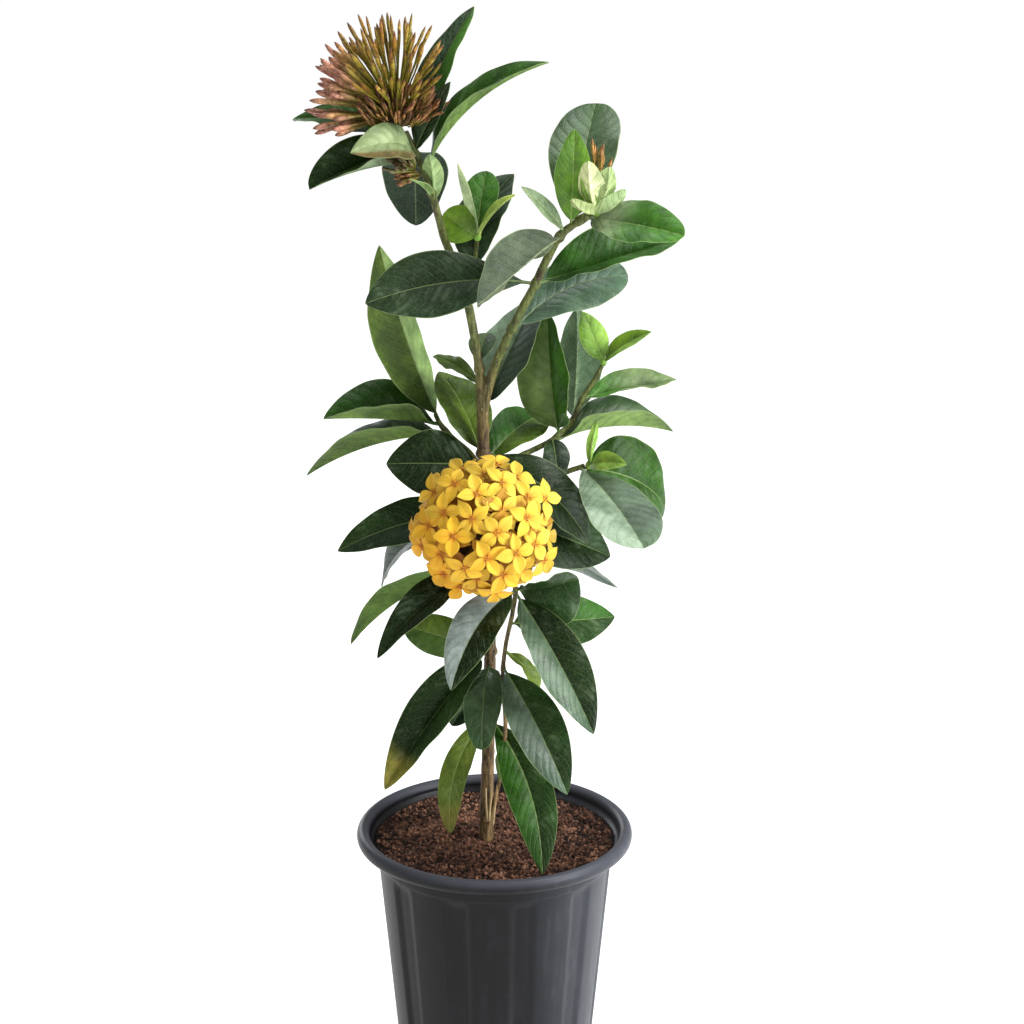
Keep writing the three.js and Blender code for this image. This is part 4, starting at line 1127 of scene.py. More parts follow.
# Each leaf: its name, its stem, the height of its joint, its tip, its look and its shape. A look's tints hold
# painted light and shade on the leaf's halves.
LEAVES = [
    ("crown_1", "left", 687, (-13, 38, 774), "bright teal sage", dict(w=28, fold=25, leave=175)),
    ("crown_2", "left", 672, (37, -20, 745), "green green fern", dict(w=36, roll=13, fold=39, arch=12)),
    ("crown_4", "left", 684, (-93, -54, 691), "ash ash ash",
     dict(w=29, roll=-50, fold=12, arch=13, margin="dry")),
    ("crown_5", "left", 678, (-121, -45, 665), "dark dark grey_sage",
     dict(w=46, roll=-22, fold=58, arch=5, blunt=0.6)),
    ("crown_6", "left", 688, (-137, 34, 698), "green green sage", dict(w=38, roll=-20, fold=25, arch=8)),
    # crown_7 is slate on both faces: its underside is tinted dark as painted shade.
    ("crown_7", "left", 684, (-54, 46, 622), "slate slate slate", dict(w=46, fold=10, arch=12, blunt=0.6)),
    ("left_1", "right", 594, (-85, -50, 589), "teal teal sage",
     dict(w=46, roll=-62, fold=12, sweep=6, peak=0.6)),
    ("right_1", "right", 628, (-10, -75, 594), "jade jade mauve plum",
     dict(w=50, roll=70, fold=40, arch=0, blunt=0.5)),
    ("right_3", "right", 638, (70, 40, 708), "jade jade sage",
     dict(w=50, roll=-5, fold=12, peak=0.58, blunt=0.8)),
    ("right_4", "right", 636, (54, -34, 703), "lime lime fresh",
     dict(w=25, roll=172, fold=10, arch=1, blunt=0.3)),
    ("right_5", "right", 643, (126, -60, 637), "bright bright sage",
     dict(w=38, roll=35, arch=2, blunt=0.7, foot="grey_sage")),
    ("right_6", "right", 596, (130, 25, 619), "green green sage", dict(w=52, roll=28, fold=46, arch=-2)),
    ("right_7", "right", 562, (93, 30, 590), "wax wax sage",
     dict(w=42, roll=50, fold=12, sweep=-8, peak=0.6, blunt=0.7)),
    ("right_8", "trunk", 503, (29, 40, 570), "slate frost sage", dict(w=50, fold=12, arch=2, blunt=0.5)),
    ("back_2", "back", 597, (14, 62, 655), "teal teal sage", dict(w=40, fold=20, arch=4, sweep=-8, leave=80)),
    ("east_1", "east", 474, (38, 42, 560), "bright leek sage",
     dict(w=50, roll=-93, fold=30, arch=3, peak=0.4, blunt=0.4)),
    ("east_2", "east", 483, (59, 80, 556), "teal teal grey_sage", dict(w=36, roll=160, arch=4, leave=150)),
    ("east_3", "east", 500, (131, 85, 501), "sage sage sage",
     dict(w=31, roll=20, fold=42, arch=0, foot="bright")),
    ("east_4", "east", 472, (128, 65, 468), "dark jade leek", dict(w=46, roll=5, fold=62, arch=7)),
    ("twig_1", "twig", 454, (102, -70, 424), "frost wax sage",
     dict(w=50, roll=5, fold=8, arch=5, peak=0.66, blunt=0.9)),
    ("twig_2", "twig", 454.5, (122, 45, 417), "green green sage",
     dict(w=64, roll=50, fold=8, arch=14, peak=0.4, blunt=0.6)),
    ("west_1", "west", 482, (-80, 50, 607), "green green olive leek", dict(w=54, roll=150, fold=20, arch=4)),
    ("west_2", "west", 480, (-120, 30, 487), "green green fern", dict(w=58, roll=-12, fold=60, arch=2)),
    ("west_3", "west", 474, (-135, 65, 435), "dark dark fern", dict(w=42, roll=2, fold=52, arch=8)),
    ("mid_1", "trunk", 460, (-75, 3, 462), "deep deep sage", dict(w=48, roll=-60, fold=8, arch=3)),
    ("mid_2", "trunk", 425, (-109, -12, 403), "dark teal sage", dict(w=36, roll=-40, arch=12)),
    ("mid_3", "trunk", 425, (-82, 60, 352), "slate slate sage", dict(w=36, roll=-45, fold=25, arch=16)),
    ("mid_4", "trunk", 374, (-80, -60, 341), "deep deep sage", dict(w=30, roll=-20, fold=35, arch=20)),
    ("mid_5", "trunk", 380, (-104, 40, 315), "green green fern", dict(w=44, roll=20, fold=30, arch=12)),
    ("mid_6", "trunk", 322, (-65, 45, 327), "moss fern moss",
     dict(w=30, roll=-60, fold=5, arch=5, blunt=0.7)),
    ("mid_7", "trunk", 468, (67, 14, 400), "deep deep sage", dict(w=39, roll=45, fold=18, arch=13)),
    ("mid_8", "trunk", 425, (83, 36, 383), "deep dark sage", dict(w=50, roll=65, arch=4)),
    ("mid_9", "trunk", 405, (90, 78, 345), "silver silver silver", dict(w=38, roll=165, fold=20, arch=-8)),
    ("mid_10", "east", 471, (45, 12, 446), "teal slate sage", dict(w=20, fold=20, arch=4, leave=-90)),
    ("fork_1", "trunk", 468, (-39, 50, 516), "olive olive sage", dict(w=42)),
    ("fork_2", "left", 519, (-43, 55, 526), "olive olive olive", dict(w=14, roll=-20, fold=20, arch=4)),
    ("fork_3", "trunk", 462, (38, 72, 478), "olive green sage", dict(w=36, roll=20, fold=12, arch=10)),
    ("bloom_1", "bloom", 377, (-29, -85, 327), "steel deep sage",
     dict(w=34, roll=-25, fold=20, arch=12, sweep=6)),
    ("bloom_2", "bloom", 375, (69, -70, 289), "wax deep sage", dict(w=40, roll=25, fold=22, arch=8)),
    ("bloom_3", "bloom", 378, (59, -25, 387), "dark dark fern",
     dict(w=60, roll=120, fold=40, arch=2, peak=0.6, blunt=0.7)),
    ("bloom_4", "bloom", 352, (87, 45, 334), "dark green sage", dict(w=40, roll=60, arch=-3)),
    ("low_1", "trunk", 322, (-77, -45, 237), "deep dark fern",
     dict(w=42, roll=-25, fold=40, arch=5, peak=0.42, end="rust")),
    ("low_2", "trunk", 300, (-30, -22, 276), "wax teal sage",
     dict(w=24, roll=-30, fold=20, arch=4, blunt=0.6)),
    ("low_3", "trunk", 312, (-8, -60, 273), "jade jade sage",
     dict(w=28, roll=10, fold=12, arch=8, blunt=0.9)),
    ("low_4", "trunk", 272, (-31, -30, 197), "moss moss moss",
     dict(w=20, roll=-30, fold=10, arch=4, sweep=9, blunt=0.6, end="straw")),
    ("low_5", "bloom", 318, (51, -75, 246), "wax dark sage", dict(w=38, roll=25, arch=12)),
    ("low_6", "bloom", 331, (32, -20, 298), "moss moss fresh", dict(w=14, roll=30, fold=20)),
    ("low_7", "trunk", 272, (34, -74, 185), "green dark sage",
     dict(w=34, roll=20, fold=10, arch=8, sweep=-9)),
]


for index, (name, stem, height, tip, look, shape) in enumerate(LEAVES):
    patches = {part: shape.pop(part) for part in ("foot", "end", "margin") if part in shape}
    base = seat(stem, height, tip, shape.pop("leave", None))
    skin = leaf_skin(base, tip, seed=index, **shape)
    finishes = new_leaf if name == YOUNG_LEAF else old_leaf
    leaf = add_leaf(f"blade_{name}", [skin], [look], finishes, 100 + index, **patches)
    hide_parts(f"leaf_{name}")
print("leaves:", len(LEAVES))

# %% [markdown]
# ## New shoots
# At the shoot tips and in some joints stand tufts of two to five small new leaves, still upright and
# yellow-green, some nearly white. They share one foot, so each tuft is one piece: the same leaf skin,
# smaller, flatter and nearly unwaved, round a small knob. Single sprouts in the joints make one more piece.

# %% Tufts and sprouts
YOUNG = dict(wave=0.3, steps=26)
TUFT_KNOB, KNOB_RINGS, KNOB_SIDES = 2.6, 9, 14
KNOB_VALUES = {"vein": 0.5, "rim": 0.5, "rib": 9.0, "along": 0.6, "across": 0.0}  # plain blade, off the veins
# Each tuft: its foot, and the tip, look and shape of its leaves.
TUFTS = {
    "back_tuft": ((-11, 22, 619), [
        ((-34, 26, 635), "grass grass fresh", dict(w=28, roll=-85, fold=10, arch=3, peak=0.55, blunt=0.6)),
        ((-24, 5, 673), "cream cream cream", dict(w=15, roll=160, fold=25, arch=-3)),
        ((15, -2, 653), "butter butter butter", dict(w=14, roll=40, fold=30, arch=3)),
        ((-5, 42, 661), "bright bright sage", dict(w=26, arch=3, peak=0.6, blunt=0.6)),
    ]),
    "right_tuft": ((69, -28, 646), [
        ((63, -40, 683), "cream pale cream", dict(w=22, roll=8, fold=34, arch=-5, peak=0.44, blunt=0.7)),
        ((77, -38, 679), "cream fresh pale", dict(w=22, roll=-14, fold=38, arch=-5, peak=0.44, blunt=0.7)),
        ((88, -34, 663), "fresh cream pale", dict(w=19, roll=-35, fold=34, arch=-5, peak=0.44, blunt=0.7)),
        ((52, -42, 658), "pale cream pale", dict(w=15, roll=25, fold=35, arch=-4, peak=0.44, blunt=0.7)),
        ((58, -34, 671), "fresh cream fresh", dict(w=15, roll=20, fold=25, arch=-3, peak=0.44, blunt=0.7)),
    ]),
    "east_tuft": ((77, 43, 525), [
        ((62, 40, 562), "fresh grass fresh", dict(w=20, roll=-90, arch=2)),
        ((110, 34, 549), "fresh grass fresh", dict(w=17, roll=40, fold=30, arch=3)),
    ]),
    "twig_tuft": ((66.8, 20, 456), [
        ((92, -5, 464), "fresh fresh fresh", dict(w=16, roll=50, fold=20, arch=4)),
        ((72, 4, 493), "fresh spring fresh", dict(w=8, fold=20, arch=2)),
    ]),
}
# Each sprout: its stem, the height of its joint, its tip, its look and its shape.
SPROUTS = [
    ("left", 684, (-28, -25, 733), "teal teal sage", dict(w=16, roll=80, fold=20, arch=2)),
    ("left", 650, (-42, -26, 685), "pale sage pale", dict(w=15, fold=20, arch=3)),
    ("left", 650, (-56, -26, 668), "leek pale leek", dict(w=11, fold=20, arch=3)),
    ("left", 535, (-4, 30, 549), "jade sage sage", dict(w=20, fold=20, arch=3)),
    ("right", 632, (19, -46, 667), "grey_sage grey_sage stone", dict(w=13, roll=-70, arch=2)),
    ("bloom", 300, (16, -10, 264), "lime moss fresh", dict(w=14, fold=20, arch=4)),
    ("bloom", 262, (4, -17, 231), "moss lime fresh", dict(w=9, fold=20, arch=2)),
]


def knob_skin(centre, radius):
    """A small egg that closes the foot of a tuft, with the values that a leaf finish reads."""
    points = []
    for i in range(KNOB_RINGS):
        polar = math.pi * (0.04 + 0.92 * i / (KNOB_RINGS - 1))
        out, height = radius * math.sin(polar), 1.25 * radius * math.cos(polar)
        angles = np.arange(KNOB_SIDES) * 2 * math.pi / KNOB_SIDES
        points += [np.array(centre) + (out * math.cos(a), out * math.sin(a), height) for a in angles]
    faces = [face[::-1] for face in ring_faces(KNOB_RINGS, KNOB_SIDES) + end_caps(KNOB_RINGS, KNOB_SIDES)]
    skin = {"points": np.array(points), "faces": faces, "kinds": [0] * len(faces)}
    skin["under"] = np.zeros(len(points))
    return skin | {name: np.full(len(points), value) for name, value in KNOB_VALUES.items()}


for index, (name, (foot, leaves)) in enumerate(TUFTS.items()):
    looks = [look for tip, look, shape in leaves] + ["fresh fresh fresh"]
    skins = [leaf_skin(foot, tip, seed=k, **YOUNG, **shape) for k, (tip, look, shape) in enumerate(leaves)]
    skins.append(knob_skin(foot, TUFT_KNOB))
    tuft = add_leaf(f"shoot_{name}", skins, looks, new_leaf, 200 + index)
    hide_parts(name)

sprout_skins = []
for k, (stem, height, tip, look, shape) in enumerate(SPROUTS):
    foot = courses[stem].at(courses[stem].run_at_height(height))
    sprout_skins.append(leaf_skin(foot, tip, seed=k, **YOUNG, **shape))
sprouts = add_leaf("sprouts", sprout_skins, [sprout[3] for sprout in SPROUTS], new_leaf, 300)
print("tufts and sprouts:", len(TUFTS), len(SPROUTS))

# %% [markdown]
# ## The open flower head
# The head is a ball of star flowers in two layers. Each star has four pointed petals, a little creased along
# the middle and bent back at the tip, and a hair-thin tube that runs down to a stalk in the heart of the
# ball. The outer stars turn to the front, where the light is, and are tinted orange on the shaded left and
# lemon on the lit upper right, as painted light and shade. The inner ones close the gaps and are tinted
# darker as painted shade, and between them the heart is dark brown, partly its own colour and partly painted
# shade. The golden angle sets the stars, because it covers a ball evenly without rows, and each leans and
# spins a little differently.

# %% Places of the stars
FLOWER_CENTRE, FLOWER_RADIUS, FLOWER_CORE = np.array([-7.0, -42.0, 429.0]), 45, 33
OUTER_STARS, OUTER_MIDDLE, OUTER_REACH = 43, (0.05, -0.97, 0.25), 112  # a cap of the ball, in degrees
INNER_STARS, INNER_MIDDLE, INNER_REACH, INNER_RADIUS = 34, (0.0, -0.96, 0.28), 108, 37.0
GOLDEN = math.pi * (3 - math.sqrt(5))


def seeded(seed):
    """The small generator that set the solid heads, so that each star and bud stands where its solid is."""
    state = seed
    while True:
        state = state * 16807 % 2147483647
        yield state / 2147483647


def quick_turn(axis):
    """The rotation that takes +Z to an axis the shortest way."""
    axis = unit(np.array(axis, float))
    return np.array(Vector((0, 0, 1)).rotation_difference(Vector(axis)).to_matrix())


def spread_over_cap(count, axis, reach):
    """Even directions over a cap about an axis, out to `reach` degrees from it."""
    i = np.arange(count)
    z = 1 - (i + 0.5) / count * (1 - math.cos(math.radians(reach)))
    r = np.sqrt(1 - z * z)
    return np.stack([r * np.cos(GOLDEN * i), r * np.sin(GOLDEN * i), z], axis=1) @ quick_turn(axis).T


def star_places():
    """The outer layer: where each star's eye is, which way it looks, its spin and its distance."""
    draw = seeded(7)
    places = []
    for i, out in enumerate(spread_over_cap(OUTER_STARS, OUTER_MIDDLE, OUTER_REACH)):
        radius = FLOWER_RADIUS + 2 * (i % 3 - 1)
        lean = np.array([next(draw) - 0.5, next(draw) - 0.5, next(draw) - 0.5]) * 0.2
        places.append((FLOWER_CENTRE + out * radius, unit(out + lean), next(draw) * math.pi, radius))
    return places


def inner_places(random):
    """A second layer of stars, deeper in the head, that closes the gaps between the outer ones."""
    for out in spread_over_cap(INNER_STARS, INNER_MIDDLE, INNER_REACH):
        lean = (random.random(3) - 0.5) * 0.3
        yield FLOWER_CENTRE + out * INNER_RADIUS, unit(out + lean), random.random() * math.pi, INNER_RADIUS


print("outer stars:", len(star_places()))

# %% One star
PETAL_LENGTH, PETAL_WIDTH, PETAL_THICK = 15.4, 9.5, 0.55
PETAL_ALONG, PETAL_SIDE = 11, 4
OUTLINE_TOP = 0.229  # the greatest value of a petal's bare outline
EYE_RADIUS, ROOT_HEIGHT, STYLE_HEIGHT = 0.9, 0.3, 2.6
ANTHER_HEIGHT, ANTHER_REACH = 1.3, 2.6
TUBE_SIDES, ANTHER_SIDES = 10, 5
MOUTH = [(1.0, 0.55), (1.75, 0.75), (2.0, 0.1), (1.2, -2.4), (0.8, -5)]  # radius and height of each ring
ANTHER = ((0, 0.22), (0.6, 0.26), (0.85, 0.42), (1, 0.12))  # share of its length, and radius
THROAT_MARK, ANTHER_MARK = -0.2, -0.6  # stand for the place along a petal, so that the finish darkens them


def petal(face, side, out, eye, length, width, droop, cup):
    """A petal as a closed skin: a pointed oval that cups along its middle and bends back at its tip."""
    t = np.linspace(0, 1, PETAL_ALONG)[:, None]
    v = np.linspace(-1, 1, 2 * PETAL_SIDE + 1)[None, :]
    outline = (t + 0.01) ** 0.95 * np.maximum(0, 1 - t) ** 1.2 / OUTLINE_TOP
    half = np.maximum(width / 2 * outline, np.where(t < 0.5, 1.1, 0.1))
    rise = 0.9 * np.sin(math.pi * t) - droop * t**2.2 + cup * (np.abs(v) ** 2) * half / 5.5
    rise = rise - 0.35 * np.exp(-((v * half / 0.8) ** 2)) * (1 - 0.6 * t)
    thick = PETAL_THICK * (1 - 0.45 * np.abs(v) ** 3) * (1 - 0.3 * t) + 0 * v
    reach = EYE_RADIUS + (length - EYE_RADIUS) * t

    def surface(sign):
        lift = rise + sign * thick / 2
        return eye + face * reach[..., None] + side * (v * half)[..., None] + out * lift[..., None]

    ring = np.concatenate([surface(1), surface(-1)[:, ::-1]], axis=1)
    n, m = ring.shape[1], v.shape[1]
    faces = ring_faces(PETAL_ALONG, n)
    last = (PETAL_ALONG - 1) * n
    faces += [(j, n - 1 - j, n - 2 - j, j + 1) for j in range(m - 1)]
    faces += [(last + j + 1, last + n - 2 - j, last + n - 1 - j, last + j) for j in range(m - 1)]
    along = np.broadcast_to(t, (PETAL_ALONG, n)).ravel()
    off_crease = np.abs(np.concatenate([v, v[:, ::-1]], axis=1))
    return ring.reshape(-1, 3), faces, along, np.broadcast_to(off_crease, (PETAL_ALONG, n)).ravel()


def throat(eye, out, across, third, depth):
    """The star's tube: a flared mouth at the eye, then a thin stalk back to the heart."""
    profile = [*MOUTH, (0.75, -depth)]
    angles = np.arange(TUBE_SIDES) * 2 * math.pi / TUBE_SIDES
    points = []
    for radius, rise in profile:
        points += [eye + radius * (math.cos(a) * across + math.sin(a) * third) + rise * out for a in angles]
    faces = ring_faces(len(profile), TUBE_SIDES) + end_caps(len(profile), TUBE_SIDES)
    return np.array(points), faces, np.full(len(points), THROAT_MARK), np.ones(len(points))


def stamens(eye, out, across, third, spin):
    """Four short dark anthers between the petals and one thin style in the middle."""
    root, tips = eye + out * ROOT_HEIGHT, []
    for k in range(4):
        a = spin + math.pi / 4 + k * math.pi / 2
        sideways = ANTHER_REACH * (math.cos(a) * across + math.sin(a) * third)
        tips.append(eye + out * ANTHER_HEIGHT + sideways)
    parts = []
    angles = np.arange(ANTHER_SIDES) * 2 * math.pi / ANTHER_SIDES
    for tip in (*tips, eye + out * STYLE_HEIGHT):
        side, other = (way[0] for way in ring_frame(unit(tip - root)[None, :]))
        points = []
        for share, radius in ANTHER:
            spot = root + (tip - root) * share
            points += [spot + radius * (math.cos(a) * side + math.sin(a) * other) for a in angles]
        faces = ring_faces(len(ANTHER), ANTHER_SIDES) + end_caps(len(ANTHER), ANTHER_SIDES)
        parts.append((np.array(points), faces, np.full(len(points), ANTHER_MARK), np.ones(len(points))))
    return parts


def one_star(eye, out, spin, depth, random, inner=False):
    """Four petals that differ a little, the tube, and the stamens, which an inner star does not show."""
    across = unit(np.cross(UP, out))
    third = np.cross(out, across)
    parts = []
    droop, cup = -1.2 + 4.6 * random.random(), 0.3 + 1.9 * random.random()
    for k in range(4):
        a = spin + k * math.pi / 2 + 0.3 * (random.random() - 0.5)
        face = math.cos(a) * across + math.sin(a) * third
        length = PETAL_LENGTH * (0.86 + 0.2 * random.random())
        width = PETAL_WIDTH * (0.84 + 0.24 * random.random())
        bend = droop + 2.6 * (random.random() - 0.5)
        parts.append(petal(face, np.cross(out, face), out, eye, length, width, bend, cup))
    parts.append(throat(eye, out, across, third, depth))
    return parts if inner else parts + stamens(eye, out, across, third, spin)


print("one petal:", PETAL_ALONG * (4 * PETAL_SIDE + 2), "points")

# %% Petal finish


def petal_finish():
    """Soft yellow petal: deeper orange at the eye, painted shade along the middle crease, painted light that
    pales it towards the tip and in patches, and faint streaks along it.
    """
    made = Finish("petal", Specular_IOR_Level=0.25, Sheen_Weight=0.15)
    tint, along = made.tint("tint"), made.value("along")
    cloud = made.noise(160, 3, 0.6)
    streaks = made.noise(700, 2, 0.6)
    crease = made.spread(made.value("side"), 0.0, 0.22, 0.55, 0)
    deep = made.blend(1.0, tint, (0.84, 0.56, 0.26), "MULTIPLY")
    lit = made.blend(1.0, tint, (1.04, 1.14, 1.5), "MULTIPLY")
    colour = made.blend(made.spread(along, 0.02, 0.3), deep, tint)
    # painted shade along the middle crease
    colour = made.blend(made.sum("MULTIPLY", crease, made.spread(along, 0.3, 0.8, 1, 0)), colour, deep)
    # painted light: paler towards the tip and in patches
    colour = made.blend(made.spread(along, 0.55, 1.0, 0, 0.6), colour, lit)
    colour = made.blend(made.spread(cloud, 0.35, 0.7, 0, 0.4), colour, lit)
    colour = made.blend(made.spread(along, -0.5, -0.1, 1, 0), colour, srgb(176, 108, 26))
    height = made.sum("MULTIPLY_ADD", streaks, 0.5, cloud)
    return made.done(colour, made.spread(cloud, 0.3, 0.7, 0.5, 0.64), height, 0.16)


def heart_finish(name, dark, light):
    """The inside of a head: stalks and scars that only a gap shows, dark partly by their own colour and
    partly as painted shade.
    """
    made = Finish(name, Specular_IOR_Level=0.3)
    cloud = made.noise(260, 4, 0.65)
    colour = made.blend(made.spread(cloud, 0.36, 0.66), dark, light)
    return made.done(colour, made.spread(cloud, 0.3, 0.7, 0.6, 0.85), cloud, 0.8)


petal_skin = petal_finish()
print("petal finish:", petal_skin.name)

# %% The whole flower head
# ORANGE and LEMON paint shade on the left of the head and light on its upper right; INNER_SHADE is painted
# shade on the inner stars.
ORANGE, LEMON, INNER_SHADE = srgb(216, 158, 18), srgb(222, 190, 60), (0.6, 0.45, 0.24)
FACING_FRONT = np.array([0.05, -0.75, 0.12])
OUTER_BACK, INNER_BACK = -6, -12  # Y; further back, closed buds take the place of the stars


class Bunch:
    """Many small skins in one mesh, with a tint and some other values kept for each point."""

    def __init__(self, *names):
        self.skins, self.tints, self.values = [], [], {name: [] for name in names}

    def add(self, skin, tint):
        points, faces, *values = skin
        self.skins.append((points, faces))
        self.tints.append(np.broadcast_to(tint, points.shape))
        for kept, value in zip(self.values.values(), values):
            kept.append(value)

    def mesh(self, name, finish):
        piece = build_mesh(name, *gather(self.skins), [finish])
        add_tint(piece, np.vstack(self.tints))
        for value_name, values in self.values.items():
            add_shade(piece, value_name, np.concatenate(values))
        return piece


def lumpy_ball(radius, centre, lump, size, detail=5):
    """A closed ball of small stalks and scars: an icosphere pushed in and out by noise."""
    ball = bpy.data.meshes.new("ball")
    work = bmesh.new()
    bmesh.ops.create_icosphere(work, subdivisions=detail, radius=1.0)
    work.to_mesh(ball)
    work.free()
    spots = np.array([v.co for v in ball.vertices])
    faces = [tuple(p.vertices) for p in ball.polygons]
    bpy.data.meshes.remove(ball)
    push = np.array([noise.noise(Vector(s * radius / size)) for s in spots])
    return np.array(centre) + spots * (radius - lump + lump * push)[:, None], faces


def tint_of_star(eye, random):
    """Orange on the shaded left, lemon on the upper right, where the lamp reaches."""
    reach = (eye - FLOWER_CENTRE) / FLOWER_RADIUS
    share = np.clip(0.45 + 0.42 * reach[0] + 0.3 * reach[2] + 0.3 * (random.random() - 0.5), 0, 1)
    return np.array(ORANGE) + (np.array(LEMON) - np.array(ORANGE)) * share


random = np.random.default_rng(7)
star_bunch = Bunch("along", "side")


def keep_star(eye, out, spin, radius, inner=False):
    """Adds a star. Those at the rim of the head turn towards the front, and no two lean alike."""
    colour = tint_of_star(eye, random) * (INNER_SHADE if inner else (1, 1, 1))
    out = unit(out + FACING_FRONT + (random.random(3) - 0.5) * 0.7)
    for skin in one_star(eye, out, spin, radius - FLOWER_CORE + 4, random, inner):
        star_bunch.add(skin, colour * (0.84 + 0.26 * random.random()))


for eye, out, spin, radius in star_places():
    if eye[1] < OUTER_BACK:
        keep_star(eye + out * (5 * random.random() - 5), out, spin, radius)
for eye, out, spin, radius in inner_places(random):
    if eye[1] < INNER_BACK:
        keep_star(eye, out, spin, radius, inner=True)
stars = star_bunch.mesh("stars", petal_skin)
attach(stars, "root")
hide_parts("flower_head")

flower_inside = heart_finish("heart", srgb(34, 28, 8), srgb(104, 74, 18))
heart = build_mesh("flower_heart", *lumpy_ball(FLOWER_CORE - 1, FLOWER_CENTRE, 3.5, 5), [flower_inside])
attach(heart, "root")
print("star faces:", len(stars.data.polygons))

# %% [markdown]
# ## The head of buds
# Above, on the left shoot, a dome of long buds has not opened. Each is a thin tube that swells to a narrow
# pointed tip, about six centimetres long. The tips are bronze, straw and olive in the middle of the dome,
# and thicker and pink on its left. Under the dome a band of short dark stubs turns up, and more stubs fan
# out beside it and on the right shoot. The open head has closed buds too, at its back. All are thin tubes
# turned on a lathe, each with its own bend and tint, because a few shared shapes would show as repeats
# where so many stand side by side.

# %% One bud
BUD_SHARES = [0, 0.3, 0.5, 0.6, 0.7, 0.8, 0.87, 0.93, 0.97, 1]
BUD_WIDTHS = [0.55, 0.46, 0.46, 0.55, 0.78, 0.98, 1.0, 0.82, 0.5, 0.08]
BUD_SIDES, BUD_RIDGES = 8, 0.08
FIRST_SIDE = (0.3, 0.2, 0.93)  # the way the first side of each ring looks, as near as it can


def one_bud(root, tip, thick, bend):
    """A bud: stalk, slender tube and a swollen pointed tip, on a slightly bent line."""
    side, other = (way[0] for way in ring_frame(unit(tip - root)[None, :], FIRST_SIDE))
    points = []
    for share, width in zip(BUD_SHARES, BUD_WIDTHS):
        centre = root + (tip - root) * share + bend * math.sin(math.pi * share)
        for k in range(BUD_SIDES):
            a = 2 * math.pi * k / BUD_SIDES
            ridge = 1 + BUD_RIDGES * math.cos(4 * a)
            points.append(centre + thick * width * ridge * (math.cos(a) * side + math.sin(a) * other))
    faces = ring_faces(len(BUD_SHARES), BUD_SIDES) + end_caps(len(BUD_SHARES), BUD_SIDES)
    return np.array(points), faces, np.repeat(BUD_SHARES, BUD_SIDES)


def bud_finish():
    """Bud skin: olive tube, bronze or pink tip, with fine lengthwise streaks, and darker towards the root as
    painted shade deep in the head.
    """
    made = Finish("bud_skin", Specular_IOR_Level=0.32)
    tint, along = made.tint("tint"), made.value("along")
    cloud = made.noise(420, 3, 0.6)
    stalk = made.blend(0.78, tint, srgb(110, 110, 16))
    colour = made.blend(made.spread(along, 0.56, 0.9), stalk, tint)
    colour = made.blend(made.spread(along, 0.88, 1.0, 0, 0.85), colour, srgb(92, 44, 34))
    # painted shade: the root end, deep inside the head, goes dark
    colour = made.blend(made.spread(along, 0.0, 0.42, 0.85, 0), colour, srgb(44, 36, 14))
    colour = made.blend(made.spread(cloud, 0.44, 0.66, 0, 0.7), colour, srgb(70, 48, 24))
    return made.done(colour, made.spread(cloud, 0.3, 0.7, 0.46, 0.62), cloud, 0.25)


print("one bud:", len(BUD_SHARES) * BUD_SIDES, "points")

# %% Tints of the buds
PINK, BRONZE = srgb(208, 146, 124), srgb(142, 80, 24)
STRAW_BUD, OLIVE_BUD = srgb(206, 168, 76), srgb(110, 110, 20)


def pink_share(out):
    """1 on the left rim of the dome, where the buds are thick and pink, and 0 over its middle and right."""
    return float(ease((-out[0] - 0.35) / 0.5))


def tint_of_bud(out, random):
    """Pink on the left of the dome, bronze, straw and olive over its middle."""
    pink, bronze, straw, olive = (np.array(tint) for tint in (PINK, BRONZE, STRAW_BUD, OLIVE_BUD))
    middle = bronze + (straw - bronze) * random.random()
    middle = middle + (olive - middle) * 0.8 * random.random()
    share = np.clip(1.1 * pink_share(out) - 0.75 * random.random() ** 2, 0, 1)
    return (middle + (pink - middle) * share) * (0.75 + 0.5 * random.random())


print("tint in the middle of the dome:", tint_of_bud((0, 0, 1), np.random.default_rng(0)).round(2).tolist())

# %% The dome of buds
BUD_CENTRE, BUD_REACH, BUD_CORE = np.array([-64.0, -14.0, 711.0]), 64, 14
DOME_BUDS, DOME_MIDDLE, DOME_SPREAD = 66, (-0.5, -0.36, 0.79), 71  # spread in degrees
MORE_BUDS, MORE_MIDDLE, MORE_SPREAD = 124, (-0.42, -0.45, 0.79), 66
BUD_THICK, BUD_THICKEN = 1.25, 0.6
random = np.random.default_rng(11)
draw = seeded(11)
bud_bunch = Bunch("along")


def keep_bud(root, tip, thick, colour, bend=3.0, sag=(0.0, 0.0, 0.0)):
    """Adds a bud or stub that bends by chance, and sags if told to."""
    bud_bunch.add(one_bud(root, tip, thick, np.array(sag) + (random.random(3) - 0.5) * bend), colour)


def add_bud(out, reach):
    """Adds a long bud of the dome."""
    thick = BUD_THICK + BUD_THICKEN * pink_share(out) + 0.3 * (random.random() - 0.5)
    keep_bud(BUD_CENTRE + out * (BUD_CORE - 3), BUD_CENTRE + out * reach, thick, tint_of_bud(out, random))


def faces_front_low(out):
    """True where stubs grow in place of long buds."""
    return out[1] < -0.45 and out[2] < 0.42 and out[0] > -0.7


def shorter_on_the_right(out):
    """Buds on the right of the dome stay up to a third shorter."""
    return 1 - 0.3 * max(0.0, out[0])


for out in spread_over_cap(DOME_BUDS, DOME_MIDDLE, DOME_SPREAD):
    reach = BUD_REACH * (0.82 + 0.16 * out[2] + 0.16 * next(draw))
    if not faces_front_low(out):
        add_bud(out, reach * shorter_on_the_right(out))
for out in spread_over_cap(MORE_BUDS, MORE_MIDDLE, MORE_SPREAD):
    out = unit(out + (random.random(3) - 0.5) * 0.16)
    if not faces_front_low(out):
        add_bud(out, BUD_REACH * (0.66 + 0.14 * out[2] + 0.2 * random.random()) * shorter_on_the_right(out))
print("buds in the dome:", len(bud_bunch.skins))

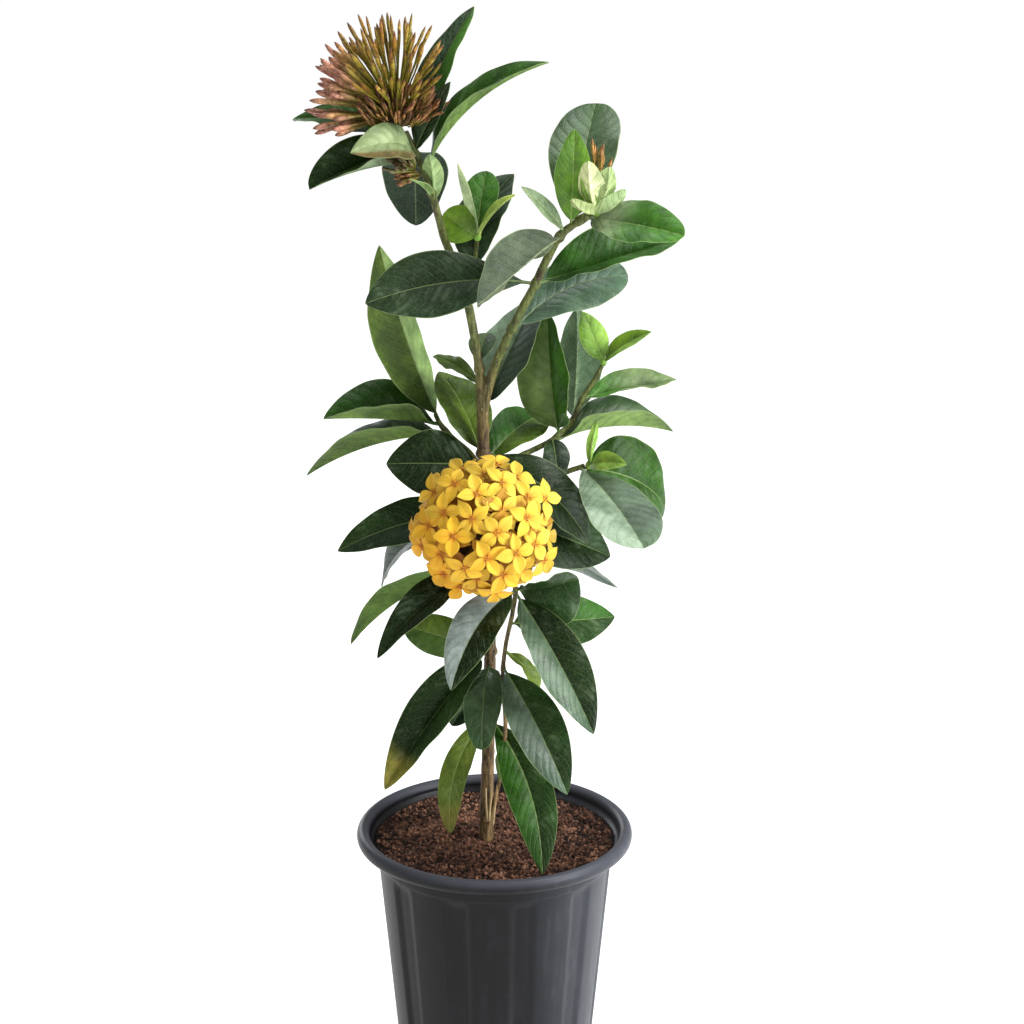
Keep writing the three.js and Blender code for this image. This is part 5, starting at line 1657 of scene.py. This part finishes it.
# %% Stubs of buds
# Root, direction, count, spread in degrees, shortest and longest length, thickness, and two tints.
STUBS = {
    "right of the dome": ((-52, -16, 704), (0.5, -0.5, 0.75), 46, 30, (20, 30), 1.0, "umber tan"),
    "under the pale leaf": ((-52, -16, 672), (-0.5, -0.78, 0.5), 44, 26, (18, 31), 1.0, "umber reed"),
    "below them": ((-47, -13, 669), (-0.95, -0.35, -0.05), 26, 22, (11, 21), 1.1, "umber tan"),
    "on the right shoot": ((68, -21, 648), (0.12, 0.1, 0.98), 12, 10, (32, 47), 0.9, "ochre tan"),
}
STUB_TINTS = {
    "umber": srgb(66, 42, 26),
    "tan": srgb(182, 128, 80),
    "reed": srgb(136, 140, 96),
    "ochre": srgb(206, 160, 62),
}
TURNED_UP, ROW_START, ROW_END = 150, np.array([-90.0, -32.0, 722.0]), np.array([-36.0, -34.0, 724.0])
ROW_JITTER = np.array([7.0, 16.0, 26.0])
STUB_SAG = np.array([0.0, -2.0, -5.5])


def fan_of_stubs(root, direction, count, spread, lengths, thick, words):
    """Short unopened buds that fan out from one foot."""
    first, second = (np.array(STUB_TINTS[word]) for word in words.split())
    for out in spread_over_cap(count, direction, spread):
        out = unit(out + (random.random(3) - 0.5) * 0.22)
        length = lengths[0] + (lengths[1] - lengths[0]) * random.random()
        colour = first + (second - first) * random.random()
        keep_bud(np.array(root) + out * 2, np.array(root) + out * length, thick, colour, bend=2.0)


def turned_up_stubs():
    """A broad band of stubs below the dome: they leave its heart sideways and turn up."""
    umber, tan = np.array(STUB_TINTS["umber"]), np.array(STUB_TINTS["tan"])
    for _ in range(TURNED_UP):
        tip = ROW_START + (ROW_END - ROW_START) * random.random() + (random.random(3) - 0.5) * ROW_JITTER
        root = BUD_CENTRE + unit(tip - BUD_CENTRE) * 8
        sag = STUB_SAG * (0.6 + 0.8 * random.random())
        keep_bud(root, tip, 0.7 + 0.35 * random.random(), umber + (tan - umber) * random.random(), 2.0, sag)


turned_up_stubs()
for stub_row in STUBS.values():
    fan_of_stubs(*stub_row)
buds = bud_bunch.mesh("buds", bud_finish())
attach(buds, "root")
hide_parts("bud_head")

bud_inside = heart_finish("bud_heart", srgb(34, 22, 14), srgb(74, 54, 28))
core = build_mesh("bud_core", *lumpy_ball(BUD_CORE - 1, BUD_CENTRE, 2.5, 4, 4), [bud_inside])
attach(core, "root")
print("buds and stubs:", len(bud_bunch.skins), "faces:", len(buds.data.polygons))

# %% Late buds of the open head
LATE_BUDS, LATE_AXIS, LATE_SPREAD = 84, (0.0, 1.0, -0.25), 78
LATE_ROOT, LATE_NEAREST, LATE_FARTHEST, LATE_THICK = 26, 37.0, 43.0, 1.5
LATE_TINTS = (srgb(150, 158, 70), srgb(216, 186, 84))


def late_buds():
    """Green and yellow buds, still closed, on the side of the open head that turns to the stem."""
    bunch = Bunch("along")
    first, second = (np.array(tint) for tint in LATE_TINTS)
    for out in spread_over_cap(LATE_BUDS, LATE_AXIS, LATE_SPREAD):
        tip = FLOWER_CENTRE + out * (LATE_NEAREST + (LATE_FARTHEST - LATE_NEAREST) * random.random())
        bud = one_bud(FLOWER_CENTRE + out * LATE_ROOT, tip, LATE_THICK, (random.random(3) - 0.5) * 2)
        bunch.add(bud, first + (second - first) * random.random())
    piece = bunch.mesh("late_buds", bud_finish())
    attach(piece, "root")
    return piece


print("late buds:", len(late_buds().data.polygons))
